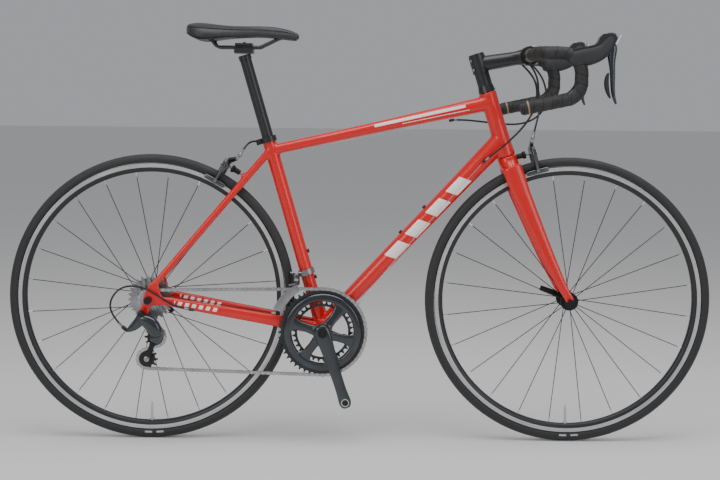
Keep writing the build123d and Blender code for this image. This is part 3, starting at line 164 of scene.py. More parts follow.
class Coat:
    """A material under construction around one Principled shader."""

    def __init__(self, name: str, colour: Colour, roughness: float, metallic: float = 0.0) -> None:
        """Start a material with its plain colour, roughness and metalness."""
        self.material = bpy.data.materials.new(name)
        self.material.use_nodes = True
        self.tree = self.material.node_tree
        self.shader = self.tree.nodes["Principled BSDF"]
        self.shader.inputs["Base Color"].default_value = (*colour, 1.0)
        self.shader.inputs["Roughness"].default_value = roughness
        self.shader.inputs["Metallic"].default_value = metallic
        self.material.diffuse_color = (*colour, 1.0)
        coordinates = self.tree.nodes.new("ShaderNodeTexCoord")
        self.place = coordinates.outputs["Object"]
        self.unwrapped = coordinates.outputs["UV"]

    def node(self, kind: str, settings: dict | None = None, **sockets: object) -> bpy.types.Node:
        """Add a node.

        Args:
            kind: the node's type.
            settings: the node's own settings, set first.
            sockets: values or links of its inputs, by name with _ for a space.

        Returns:
            The new node.
        """
        node = self.tree.nodes.new(kind)
        for key, value in (settings or {}).items():
            setattr(node, key, value)
        for key, value in sockets.items():
            socket = node.inputs[key.replace("_", " ")]
            if isinstance(value, Signal):
                self.tree.links.new(value.socket, socket)
            elif isinstance(value, bpy.types.NodeSocket):
                self.tree.links.new(value, socket)
            else:
                socket.default_value = value
        return node

    def axes(self, source: bpy.types.NodeSocket | None = None) -> tuple[Signal, Signal, Signal]:
        """The three coordinates as signals."""
        split = self.node("ShaderNodeSeparateXYZ", Vector=source or self.place)
        return tuple(Signal(self.tree, out) for out in split.outputs)

    def noise(self, scale: float, detail: float = 4.0, source: bpy.types.NodeSocket | None = None) -> Signal:
        """Fractal noise, from about 0.2 to 0.8."""
        node = self.node("ShaderNodeTexNoise", Vector=source or self.place, Scale=scale, Detail=detail)
        return Signal(self.tree, node.outputs[0])

    def grain(self, scale: float, source: bpy.types.NodeSocket | None = None) -> Signal:
        """The distance to the nearest of scattered points, as pebbled leather or rubber has."""
        node = self.node("ShaderNodeTexVoronoi", Vector=source or self.place, Scale=scale)
        return Signal(self.tree, node.outputs[0])

    def blend(self, mask: Signal, low: object, high: object) -> bpy.types.NodeSocket:
        """A colour between two, by a mask."""
        node = self.node("ShaderNodeMix", {"data_type": "RGBA"})
        self.tree.links.new(mask.socket, node.inputs[0])
        for socket, value in ((node.inputs[6], low), (node.inputs[7], high)):
            if isinstance(value, bpy.types.NodeSocket):
                self.tree.links.new(value, socket)
            else:
                socket.default_value = (*value, 1.0)
        return node.outputs[2]

    def feed(self, name: str, value: object) -> "Coat":
        """Link something that varies into a socket of the shader."""
        socket = value.socket if isinstance(value, Signal) else value
        self.tree.links.new(socket, self.shader.inputs[name])
        return self

    def fixed(self, **sockets: float) -> "Coat":
        """Set constant sockets of the shader, by name with _ for a space."""
        for key, value in sockets.items():
            self.shader.inputs[key.replace("_", " ")].default_value = value
        return self

    def relief(self, height: Signal, distance: float, strength: float = 1.0) -> "Coat":
        """Give the surface fine relief, distance metres deep."""
        bump = self.node("ShaderNodeBump", Height=height, Distance=distance, Strength=strength)
        self.tree.links.new(bump.outputs[0], self.shader.inputs["Normal"])
        return self


@dataclass(frozen=True)
class Paint:
    """Glossy two-layer paint with slight ripple and faint dust in its gloss."""

    colour: Colour = (0.70, 0.008, 0.006)
    light: Colour = (0.88, 0.86, 0.83)
    stripes: bool = False

    def build(self, name: str) -> bpy.types.Material:
        """Make the material, with pale stripes along the tubes where they are wanted."""
        coat = Coat(name, self.colour, 0.32)
        coat.fixed(Coat_Weight=0.6, Coat_Roughness=0.07, Specular_IOR_Level=0.35)
        tone = coat.noise(7.0).step(0.3, 0.75)
        darker = tuple(channel * 0.90 for channel in self.colour)
        colour = coat.blend(tone, darker, self.colour)
        if self.stripes:
            colour = coat.blend(self.stripe_mask(coat), colour, self.light)
        coat.feed("Base Color", colour)
        coat.feed("Roughness", 0.25 + coat.noise(160.0, 2.0) * 0.14)
        coat.relief(coat.noise(420.0, 1.0), 0.00004)
        return coat.material

    def stripe_mask(self, coat: Coat) -> Signal:
        """Slanted pale bars on the down tube's flanks and a stripe along the top tube."""
        x, y, z = coat.axes()
        along = (x - 0.018) * 0.685 + (z - 0.3795) * 0.729
        off = (x - 0.018) * -0.729 + (z - 0.3795) * 0.685
        bars = ((along + off * 0.45) * 14.5).maths("FRACT").within(0.12, 0.80)
        flank = off.within(-0.0135, 0.0135) * along.within(0.066, 0.345)
        top_along = (x + 0.198) * 0.9777 + (z - 0.6895) * 0.2100
        top_off = (x + 0.198) * -0.2100 + (z - 0.6895) * 0.9777
        blade = top_off - 0.0045 - (top_along - 0.33) * 0.012
        line = blade.within(-0.0030, 0.0036) * top_along.within(0.235, 0.452)
        thin = (top_off + 0.0042).within(-0.0007, 0.0007) * top_along.within(0.30, 0.46)
        stay_along = (x + 0.442) * -1.0
        stay_off = z - 0.3325 + (x + 0.446) * 0.178
        mark = stay_off.within(-0.0045, 0.0045) * stay_along.within(-0.115, -0.012)
        ticks = ((stay_along + stay_off * 0.4) * 62.0).maths("FRACT").within(0.15, 0.72)
        sides = y.maths("ABSOLUTE") > 0.004
        main = (bars * flank + line + thin).maths("MINIMUM", 1.0)
        return (main * sides + mark * ticks).maths("MINIMUM", 1.0)


@dataclass(frozen=True)
class Metal:
    """A cast, turned or anodised metal with fine streaks in its gloss."""

    colour: Colour
    roughness: float = 0.34
    metallic: float = 1.0
    coat: float = 0.0
    grain: float = 900.0
    depth: float = 0.00003

    def build(self, name: str) -> bpy.types.Material:
        """Make the material."""
        made = Coat(name, self.colour, self.roughness, self.metallic)
        made.fixed(Coat_Weight=self.coat, Coat_Roughness=0.08)
        fine = made.noise(self.grain, 3.0)
        broad = made.noise(24.0, 3.0)
        dull = tuple(channel * 0.72 for channel in self.colour)
        made.feed("Base Color", made.blend(broad.step(0.32, 0.7), dull, self.colour))
        made.feed("Roughness", self.roughness - 0.08 + broad * 0.10 + fine * 0.08)
        made.relief(fine, self.depth)
        return made.material


@dataclass(frozen=True)
class Rubber:
    """A matt rubber or plastic with pebbled relief."""

    colour: Colour
    roughness: float = 0.62
    pebble: float = 900.0
    depth: float = 0.00012

    def build(self, name: str) -> bpy.types.Material:
        """Make the material."""
        made = Coat(name, self.colour, self.roughness)
        made.fixed(Specular_IOR_Level=0.42)
        wear = made.noise(18.0, 5.0).step(0.35, 0.75)
        worn = tuple(channel * 1.55 + 0.004 for channel in self.colour)
        made.feed("Base Color", made.blend(wear * 0.5, self.colour, worn))
        made.feed("Roughness", self.roughness - 0.07 + made.noise(70.0) * 0.16)
        made.relief(made.grain(self.pebble), self.depth)
        return made.material


@dataclass(frozen=True)
class WheelRubber:
    """A tyre whose tread is finely cross-hatched and whose sidewall is smooth with plain marks."""

    centre: Vector
    tread: Colour = (0.032, 0.034, 0.037)
    wall: Colour = (0.018, 0.018, 0.019)

    def build(self, name: str) -> bpy.types.Material:
        """Make the material, in rings about the wheel's axle."""
        made = Coat(name, self.tread, 0.6)
        x, y, z = made.axes()
        dx, dz = x - self.centre.x, z - self.centre.z
        radius = (dx * dx + dz * dz).maths("SQRT")
        angle = dz.maths("ARCTAN2", dx)
        side = y.maths("ABSOLUTE")
        wall = (side - 0.0072).step(-0.0004, 0.0004) * (radius < 0.3305)
        label = (radius.within(0.3192, 0.3232) * (angle + 1.62).within(0.0, 0.15)
                 * ((angle * 74.0).wave(1.0) > -0.35))
        colour = made.blend(wall, self.tread, self.wall)
        colour = made.blend(label, colour, (0.42, 0.43, 0.45))
        made.feed("Base Color", colour)
        made.feed("Roughness", 0.56 + made.noise(30.0) * 0.18 - wall * 0.10)
        hatch = (angle * 330.0 + side * 900.0).wave(1.0) * (angle * 330.0 - side * 900.0).wave(1.0)
        made.relief(hatch * (1.0 - wall) * 0.5 + made.noise(500.0) * 0.4, 0.00022)
        return made.material


@dataclass(frozen=True)
class RimFinish:
    """Black anodised rim with a machined braking track."""

    centre: Vector
    track: tuple[float, float] = (0.3050, 0.3140)

    def build(self, name: str) -> bpy.types.Material:
        """Make the material, in rings about the wheel's axle."""
        made = Coat(name, (0.02, 0.02, 0.022), 0.38)
        x, y, z = made.axes()
        dx, dz = x - self.centre.x, z - self.centre.z
        radius = (dx * dx + dz * dz).maths("SQRT")
        machined = radius.within(*self.track) * (y.maths("ABSOLUTE") > 0.0088)
        rings = (radius * 26000.0).wave(1.0)
        grey = made.blend(made.noise(14.0).step(0.3, 0.7), (0.46, 0.47, 0.48), (0.58, 0.58, 0.59))
        made.feed("Base Color", made.blend(machined, (0.016, 0.016, 0.018), grey))
        made.feed("Metallic", machined * 0.95)
        made.feed("Roughness", 0.34 + machined * 0.04 + made.noise(90.0) * 0.08)
        made.relief(rings * machined, 0.00002)
        return made.material


@dataclass(frozen=True)
class Wrap:
    """Cork handlebar tape: the wraps follow the piece's own unwrapping, along it in metres."""

    colour: Colour = (0.022, 0.022, 0.023)

    def build(self, name: str) -> bpy.types.Material:
        """Make the material with fine dimples and a painted shade line in the crease at each wrap's edge."""
        made = Coat(name, self.colour, 0.58)
        made.fixed(Specular_IOR_Level=0.38)
        u, v, _ = made.axes(made.unwrapped)
        band = (v * (1.0 / 0.021) + u).maths("FRACT")
        # Painted shade: a near-black line in the crease where each wrap's edge overlaps the last.
        edge = band < 0.07
        mottle = made.blend(made.noise(60.0).step(0.3, 0.7), (0.018, 0.018, 0.018), (0.034, 0.034, 0.035))
        made.feed("Base Color", made.blend(edge, mottle, (0.006, 0.006, 0.006)))
        made.feed("Roughness", 0.5 + made.noise(300.0) * 0.2)
        dimples = (v * 2300.0).wave(1.0) * (u * 150.0).wave(1.0)
        made.relief(dimples * 0.35 + made.noise(800.0) * 0.5, 0.00025)
        return made.material


@dataclass(frozen=True)
class Leather:
    """The saddle's coated leather, with fine pebbles and a paler worn crown."""

    colour: Colour = (0.014, 0.014, 0.015)

    def build(self, name: str) -> bpy.types.Material:
        """Make the material."""
        made = Coat(name, self.colour, 0.42)
        made.fixed(Sheen_Weight=0.08, Specular_IOR_Level=0.45)
        worn = made.noise(14.0).step(0.35, 0.8)
        made.feed("Base Color", made.blend(worn, self.colour, (0.030, 0.030, 0.032)))
        made.feed("Roughness", 0.36 + made.noise(40.0) * 0.2)
        made.relief(made.grain(1500.0) * 0.7 + made.noise(260.0) * 0.4, 0.00010)
        return made.material


@dataclass(frozen=True)
class FloorFinish:
    """A plain pale floor."""

    colour: Colour = (0.80, 0.79, 0.77)

    def build(self, name: str) -> bpy.types.Material:
        """Make the material."""
        made = Coat(name, self.colour, 0.7)
        made.feed("Roughness", 0.62 + made.noise(4.0) * 0.1)
        return made.material


class Stuff(Enum):
    """The finishes that more than one sub-assembly uses."""

    PAINT = Paint(stripes=True)
    FORK_PAINT = Paint()
    BLACK = Metal((0.012, 0.012, 0.013), 0.36, 0.0, 0.25, 700.0, 0.00005)
    SATIN = Metal((0.035, 0.036, 0.038), 0.36, 0.85, 0.0)
    SILVER = Metal((0.66, 0.67, 0.69), 0.26)
    CALIPER = Metal((0.13, 0.135, 0.145), 0.28)
    STEEL = Metal((0.36, 0.36, 0.37), 0.32)
    CHAIN = Metal((0.47, 0.47, 0.48), 0.30)
    COGS = Metal((0.42, 0.42, 0.43), 0.33)
    CRANK = Metal((0.058, 0.066, 0.072), 0.22, 0.85, 0.6)
    RING = Metal((0.055, 0.058, 0.062), 0.32, 0.85)
    LEVER = Metal((0.045, 0.054, 0.066), 0.24, 0.75, 0.6)
    PLATE = Metal((0.68, 0.70, 0.72), 0.18)
    SPOKE = Metal((0.018, 0.018, 0.02), 0.4, 0.5)
    COPPER = Metal((0.42, 0.26, 0.15), 0.5, 0.2)
    PLASTIC = Rubber((0.014, 0.014, 0.015), 0.48, 500.0, 0.00005)
    HOOD = Rubber((0.026, 0.028, 0.031), 0.58, 800.0, 0.00016)
    PAD = Rubber((0.012, 0.012, 0.012), 0.7)
    HOUSING = Rubber((0.010, 0.010, 0.011), 0.36, 300.0, 0.00002)
    TAPE = Wrap()
    LEATHER = Leather()
    FLOOR = FloorFinish()


class Wardrobe:
    """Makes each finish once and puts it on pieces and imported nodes."""

    def __init__(self) -> None:
        """Start with nothing made."""
        self.made: dict[str, bpy.types.Material] = {}

    def get(self, name: str, finish: object) -> bpy.types.Material:
        """The material of a finish, made the first time that it is asked for."""
        if name not in self.made:
            self.made[name] = finish.build(name)
        return self.made[name]

    def dress(self, thing: bpy.types.Object, stuff: Stuff) -> bpy.types.Object:
        """Give an object one of the shared finishes."""
        return self.wear(thing, self.get(stuff.name.lower(), stuff.value))

    @staticmethod
    def wear(thing: bpy.types.Object, material: bpy.types.Material) -> bpy.types.Object:
        """Put one material on every slot of an object."""
        if not thing.material_slots:
            thing.data.materials.append(material)
        for slot in thing.material_slots:
            slot.material = material
        return thing


@dataclass
class Assembly:
    """A sub-assembly, which dresses its pieces and fixes them to bodies."""

    wardrobe: Wardrobe

    def keep(self, thing: bpy.types.Object, stuff: Stuff, slot: str, body: str = "steering") -> bpy.types.Object:
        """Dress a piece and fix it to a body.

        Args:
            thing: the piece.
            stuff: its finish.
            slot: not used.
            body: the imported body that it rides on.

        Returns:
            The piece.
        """
        self.wardrobe.dress(thing, stuff)
        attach(thing, body)
        return thing


# ---------------------------------------------------------------- forms


@dataclass
class Section:
    """One station of a lofted piece, in metres."""

    centre: Vector
    across: float
    deep: float
    along: Vector | None = None
    square: float = 2.0
    side: Vector = field(default_factory=lambda: SIDE.copy())


def level(knots: list[tuple[float, float, float, float]], y: float, square: float) -> list[Section]:
    """Sections at one y, from (x, z, half width, half depth) in millimetres."""
    return [Section(mm(x, y, z), across * MM, deep * MM, square=square) for x, z, across, deep in knots]


class Form:
    """A mesh under construction, with the operators that the bicycle's pieces share."""

    def __init__(self, name: str) -> None:
        """Start an empty mesh."""
        self.name = name
        self.mesh = bmesh.new()

    def rings(self, sections: list[Section], segments: int = 24, closed: bool = True) -> "Form":
        """Loft through oval or squarish rings.

        Args:
            sections: the stations, in order.
            segments: points round each ring.
            closed: whether both ends are capped.

        Returns:
            The form itself.
        """
        loops = []
        for index, section in enumerate(sections):
            before = sections[max(index - 1, 0)].centre
            after = sections[min(index + 1, len(sections) - 1)].centre
            along = (section.along or (after - before)).normalized()
            side = (section.side - along * section.side.dot(along)).normalized()
            up = along.cross(side)
            made = bmesh.ops.create_circle(self.mesh, segments=segments, radius=1.0)
            for vertex in made["verts"]:
                x, y = vertex.co.x, vertex.co.y
                stretch = (abs(x) ** section.square + abs(y) ** section.square) ** (-1.0 / section.square)
                flat = side * (x * stretch * section.across) + up * (y * stretch * section.deep)
                vertex.co = section.centre + flat
            edges = {edge for vertex in made["verts"] for edge in vertex.link_edges}
            loops.append((made["verts"], list(edges)))
        for (_, first), (_, last) in zip(loops, loops[1:]):
            bmesh.ops.bridge_loops(self.mesh, edges=first + last)
        if closed:
            for verts, _ in (loops[0], loops[-1]):
                bmesh.ops.contextual_create(self.mesh, geom=verts)
        return self

    def skin(self, rings: list[list[bmesh.types.BMVert]]) -> "Form":
        """Bridge rings of vertices in order, and cap the first and the last."""
        loops = [[self.mesh.edges.new(pair) for pair in zip(ring, ring[1:] + ring[:1])] for ring in rings]
        for first, last in zip(loops, loops[1:]):
            bmesh.ops.bridge_loops(self.mesh, edges=first + last)
        for ring in (rings[0], rings[-1]):
            bmesh.ops.contextual_create(self.mesh, geom=ring)
        return self

    def rod(self, start: Vector, end: Vector, radius: float, segments: int = 20,
            tip: float | None = None) -> "Form":
        """A round bar or cone between two points."""
        hint = SIDE if abs((end - start).normalized().y) < 0.9 else Vector((1.0, 0.0, 0.0))
        last = radius if tip is None else tip
        return self.rings([Section(start, radius, radius, end - start, side=hint),
                           Section(end, last, last, end - start, side=hint)], segments)

    def turned(self, profile: list[tuple[float, float]], centre: Vector, axis: Vector, steps: int = 48,
               hub: bool = False) -> "Form":
        """Spin a closed (radius, along the axis) profile right round an axis.

        Args:
            profile: the outline's corners.
            centre: a point of the axis.
            axis: the axis.
            steps: stations round it.
            hub: whether the outline is open and ends on the axis.

        Returns:
            The form itself.
        """
        axis = axis.normalized()
        hint = Vector((0.0, 0.0, 1.0)) if abs(axis.z) < 0.9 else Vector((1.0, 0.0, 0.0))
        out = (hint - axis * hint.dot(axis)).normalized()
        verts = [self.mesh.verts.new(centre + out * radius + axis * along) for radius, along in profile]
        pairs = list(zip(verts, verts[1:])) + ([] if hub else [(verts[-1], verts[0])])
        edges = [self.mesh.edges.new(pair) for pair in pairs]
        bmesh.ops.spin(self.mesh, geom=verts + edges, cent=centre, axis=axis, angle=2 * math.pi, steps=steps,
                       use_merge=True)
        if hub:
            bmesh.ops.remove_doubles(self.mesh, verts=self.mesh.verts[:], dist=1e-6)
        return self

    def slab(self, outline: list[tuple[float, float]], low: float, high: float, bevel: float = 0.0,
             segments: int = 3) -> "Form":
        """A plate parallel to the middle plane, with rounded edges.

        Args:
            outline: the (x, z) corners.
            low: its right side's y.
            high: its left side's y.
            bevel: the rounding's width.
            segments: the rounding's steps.

        Returns:
            The form itself.
        """
        verts = [self.mesh.verts.new((x, low, z)) for x, z in outline]
        face = self.mesh.faces.new(verts)
        made = bmesh.ops.extrude_face_region(self.mesh, geom=[face])["geom"]
        moved = [item for item in made if isinstance(item, bmesh.types.BMVert)]
        bmesh.ops.translate(self.mesh, verts=moved, vec=(0.0, high - low, 0.0))
        if bevel:
            group = set(verts) | set(moved)
            rims = [edge for edge in self.mesh.edges if edge.verts[0] in group and edge.verts[1] in group
                    and abs(edge.verts[0].co.y - edge.verts[1].co.y) < 1e-9]
            bmesh.ops.bevel(self.mesh, geom=rims, offset=bevel, offset_type="OFFSET", segments=segments, profile=0.5,
                            affect="EDGES", material=-1, clamp_overlap=True)
        return self

    def carry(self, place: Matrix) -> "Form":
        """Move everything made so far."""
        bmesh.ops.transform(self.mesh, matrix=place, verts=self.mesh.verts[:])
        return self

    def finish(self, smooth: float = 40.0, subdivide: int = 0, bevel: float = 0.0) -> bpy.types.Object:
        """Turn the mesh into an object.

        Args:
            smooth: faces meeting at less than this many degrees are shaded as one surface.
            subdivide: levels of subdivision surface.
            bevel: width of a bevel on edges over 30 degrees, or 0.

        Returns:
            The new object, in the scene.
        """
        bmesh.ops.recalc_face_normals(self.mesh, faces=self.mesh.faces[:])
        for face in self.mesh.faces:
            face.smooth = True
        limit = math.radians(smooth)
        for edge in self.mesh.edges:
            edge.smooth = len(edge.link_faces) == 2 and edge.calc_face_angle(0.0) < limit
        data = bpy.data.meshes.new(self.name)
        self.mesh.to_mesh(data)
        self.mesh.free()
        thing = bpy.data.objects.new(self.name, data)
        bpy.context.scene.collection.objects.link(thing)
        if bevel:
            edge = thing.modifiers.new("edges", "BEVEL")
            edge.width, edge.segments, edge.limit_method = bevel, 2, "ANGLE"
            edge.angle_limit = math.radians(30)
        if subdivide:
            surface = thing.modifiers.new("surface", "SUBSURF")
            surface.levels = surface.render_levels = subdivide
        return thing


def settle(thing: bpy.types.Object) -> bpy.types.Object:
    """Apply an object's modifiers to its mesh."""
    graph = bpy.context.evaluated_depsgraph_get()
    data = bpy.data.meshes.new_from_object(thing.evaluated_get(graph))
    thing.modifiers.clear()
    old = thing.data
    thing.data = data
    bpy.data.meshes.remove(old)
    return thing


def fuse(name: str, things: list[bpy.types.Object], voxel: float, smoothing: int) -> bpy.types.Object:
    """Join closed pieces into one skin with soft fillets where they meet.

    Args:
        name: the new object's name.
        things: the pieces, which are used up.
        voxel: the skin's mesh size.
        smoothing: rounds of smoothing.

    Returns:
        The skin.
    """
    joined = bmesh.new()
    for thing in things:
        joined.from_mesh(settle(thing).data)
        bpy.data.objects.remove(thing)
    data = bpy.data.meshes.new(name)
    joined.to_mesh(data)
    joined.free()
    skin = bpy.data.objects.new(name, data)
    bpy.context.scene.collection.objects.link(skin)
    remesh = skin.modifiers.new("weld", "REMESH")
    remesh.mode, remesh.voxel_size, remesh.use_smooth_shade = "VOXEL", voxel, True
    relax = skin.modifiers.new("fillets", "SMOOTH")
    relax.factor, relax.iterations = 0.5, smoothing
    return settle(skin)


class Line:
    """A smooth cable or hose: one NURBS spline through given control points."""

    def __init__(self, name: str, points: list[Vector], radius: float) -> None:
        """Keep the route and the radius."""
        self.name = name
        self.points = points
        self.radius = radius

    def curve(self) -> bpy.types.Object:
        """Make the curve object."""
        data = bpy.data.curves.new(self.name, "CURVE")
        data.dimensions = "3D"
        data.bevel_depth = self.radius
        data.bevel_resolution = 5
        data.resolution_u = 14
        data.use_fill_caps = True
        spline = data.splines.new("NURBS")
        spline.points.add(len(self.points) - 1)
        for knot, place in zip(spline.points, self.points):
            knot.co = (*place, 1.0)
        spline.order_u = 3
        spline.use_endpoint_u = True
        thing = bpy.data.objects.new(self.name, data)
        bpy.context.scene.collection.objects.link(thing)
        return thing

    def solid(self) -> bpy.types.Object:
        """Make the same cable as a mesh."""
        thing = self.curve()
        data = bpy.data.meshes.new_from_object(thing.evaluated_get(bpy.context.evaluated_depsgraph_get()))
        made = bpy.data.objects.new(self.name, data)
        bpy.context.scene.collection.objects.link(made)
        spent = thing.data
        bpy.data.objects.remove(thing)
        bpy.data.curves.remove(spent)
        made.name = self.name
        for face in data.polygons:
            face.use_smooth = True
        return made


# ---------------------------------------------------------------- frame and fork


@dataclass
class FrameSet(Assembly):
    """The welded frame, in millimetres until it is built."""

    seat_top: tuple[float, float] = (-218.5, 713.0)

    def tube(self, name: str, start: Vector, end: Vector, widths: tuple[float, ...], depths: tuple[float, ...],
             square: float = 2.0) -> bpy.types.Object:
        """A tube whose half widths and half depths change along it."""
        count = len(widths)
        sections = [Section(start.lerp(end, index / (count - 1)), widths[index] * MM, depths[index] * MM, end - start,
                            square) for index in range(count)]
        return Form(name).rings(sections, 40).finish()

    def stay(self, name: str, knots: list[tuple[float, float, float]], widths: tuple[float, ...],
             depths: tuple[float, ...], square: float = 2.0) -> bpy.types.Object:
        """A stay through several points."""
        sections = [Section(mm(*knot), width * MM, depth * MM, square=square)
                    for knot, width, depth in zip(knots, widths, depths)]
        return Form(name).rings(sections, 32).finish()

    def build(self) -> bpy.types.Object:
        """Make the welded skin and everything fixed to it."""
        head_top, head_bottom, steer = middle(HEAD_TOP), middle(HEAD_BOTTOM), steering_axis()
        bracket, seat_top = middle(BRACKET), middle(self.seat_top)
        seat = (seat_top - bracket).normalized()
        parts = [
            self.tube("head", head_bottom, head_top, (22.4, 20.8, 20.0, 20.0, 20.6), (22.4, 20.8, 20.0, 20.0, 20.6)),
            self.tube("seat", bracket, seat_top, (17.0, 15.9, 15.9, 15.9, 15.9), (17.0, 15.9, 15.9, 15.9, 15.9)),
            self.tube("top", seat_top - seat * 0.031, head_top - steer * 0.026, (14.5, 16.5, 17.8, 19.3, 20.0),
                      (12.4, 12.6, 13.6, 15.6, 18.2), 2.35),
            self.tube("down", bracket + mm(6, 0, 14), head_bottom + steer * 0.040, (20.0, 21.0, 22.0, 22.0, 21.0),
                      (17.5, 19.5, 20.5, 21.5, 23.5), 2.3),
            Form("shell").rod(middle(BRACKET, -43.2), middle(BRACKET, 43.2), 0.0231, 40).finish(),
        ]
        for side in (-1, 1):
            parts += self.rear_end(side)
        skin = fuse("welded_frame", parts, 0.0023, 7)
        self.wardrobe.dress(skin, Stuff.PAINT)
        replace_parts(skin, "head_tube", "top_tube", "down_tube", "seat_tube", "bottom_bracket_shell", "chainstays",
                    "seatstays", "dropouts")
        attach(skin, "frame")
        return skin

    def rear_end(self, side: int) -> list[bpy.types.Object]:
        """The chainstay, seatstay and dropout of one side, with the brake bridge's half."""
        chain = [(-98, 24, 267.5), (-150, 29.6, 276.8), (-230, 37.8, 291.8), (-340, 49.2, 312.2), (-446, 60, 332),
                 (-462, 64, 334.5)]
        chain = [(x, side * y, z) for x, y, z in chain]
        seat = [(-213, 8, 683), (-230, 12.6, 663), (-300, 27, 580.3), (-380, 43.6, 485.6), (-458, 60, 393.3),
                (-476, 64, 372)]
        seat = [(x, side * y, z) for x, y, z in seat]
        drop = [(-455, 343), (-452, 324), (-478, 323), (-498, 325), (-503, 336), (-497, 354), (-487, 375), (-478, 380),
                (-466, 373), (-461, 352)]
        low = 65.2 if side > 0 else -70.8
        plate = Form("drop").slab([(x * MM, z * MM) for x, z in drop], low * MM, (low + 5.6) * MM, 0.0012)
        pieces = [self.stay("chain", chain, (6.9, 7.0, 7.0, 7.3, 7.5, 5.6), (15, 14.6, 13.2, 11.8, 10.4, 9.0), 2.6),
                  self.stay("seat", seat, (8.0, 8.0, 7.6, 7.2, 6.6, 5.6), (9.0, 8.9, 8.4, 7.8, 7.2, 6.6), 2.2),
                  plate.finish(),
                  Form("bridge").rod(mm(-271.5, side * -1, 622.2), mm(-271.5, side * 24, 622.2), 0.0088).finish()]
        if side < 0:
            hanger = [(-497, 332), (-482, 328), (-490, 301), (-499, 297.5), (-509, 302), (-511, 312), (-503, 326)]
            pieces.append(Form("hang").slab([(x * MM, z * MM) for x, z in hanger], low * MM, (low + 5.6) * MM,
                                            0.0012).finish())
        return pieces


@dataclass
class Fork(Assembly):
    """The carbon fork: one smooth skin from the crown to both tips."""

    def build(self) -> bpy.types.Object:
        """Make the fork's skin."""
        steer = steering_axis()
        top = middle(HEAD_BOTTOM) - steer * 0.0005
        front = Vector((steer.z, 0.0, -steer.x))
        crown = [Section(top, 0.0222, 0.0222, steer * -1.0),
                 Section(top - steer * 0.009, 0.0236, 0.0225, steer * -1.0),
                 Section(top - steer * 0.020 + front * 0.001, 0.031, 0.0232, steer * -1.0),
                 Section(top - steer * 0.031 + front * 0.002, 0.0375, 0.0225, steer * -1.0),
                 Section(top - steer * 0.040 + front * 0.003, 0.0385, 0.0190, steer * -1.0)]
        parts = [Form("crown").rings(crown, 40).finish()]
        for side in (-1, 1):
            parts.append(self.blade(side))
        skin = fuse("fork_skin", parts, 0.0021, 7)
        cutter = bmesh.new()
        cutter.from_mesh(skin.data)
        wheel = mm(490, 0, 336)
        for vertex in cutter.verts:
            reach = vertex.co - wheel
            inside = abs(vertex.co.y) < 0.0172 and math.hypot(reach.x, reach.z) < 0.3432
            if inside and vertex.co.z > 0.55:
                scale = 0.3432 / math.hypot(reach.x, reach.z)
                vertex.co.x, vertex.co.z = wheel.x + reach.x * scale, wheel.z + reach.z * scale
        cutter.to_mesh(skin.data)
        cutter.free()
        steerer = Form("steerer").rod(top, top + steer * 0.245, 0.0143, 32).finish()
        for thing, stuff in ((skin, Stuff.FORK_PAINT), (steerer, Stuff.BLACK)):
            self.wardrobe.dress(thing, stuff)
            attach(thing, "steering")
        steerer.name = "fork_steerer"
        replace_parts(skin, "fork")
        return skin

    def blade(self, side: int) -> bpy.types.Object:
        """One blade, which narrows and curves forward to its tip."""
        knots = [(351, 26, 650, 10.5, 23.5), (362, 30, 620, 9.9, 23.3), (376, 33.5, 583, 9.4, 21.8),
                 (403, 38, 520, 8.6, 19.2), (423, 41.3, 474, 7.9, 17.2), (441, 44.2, 434, 7.3, 15.3),
                 (459, 48, 397, 6.6, 13.0), (474, 51.6, 367, 4.8, 11.2), (488, 53.2, 342, 3.0, 10.6),
                 (494, 53.2, 332, 2.6, 7.6)]
        sections = [Section(mm(x, side * y, z), across * MM, deep * MM, square=2.1)
                    for x, y, z, across, deep in knots]
        return Form("blade").rings(sections, 32).finish()


# ---------------------------------------------------------------- wheels


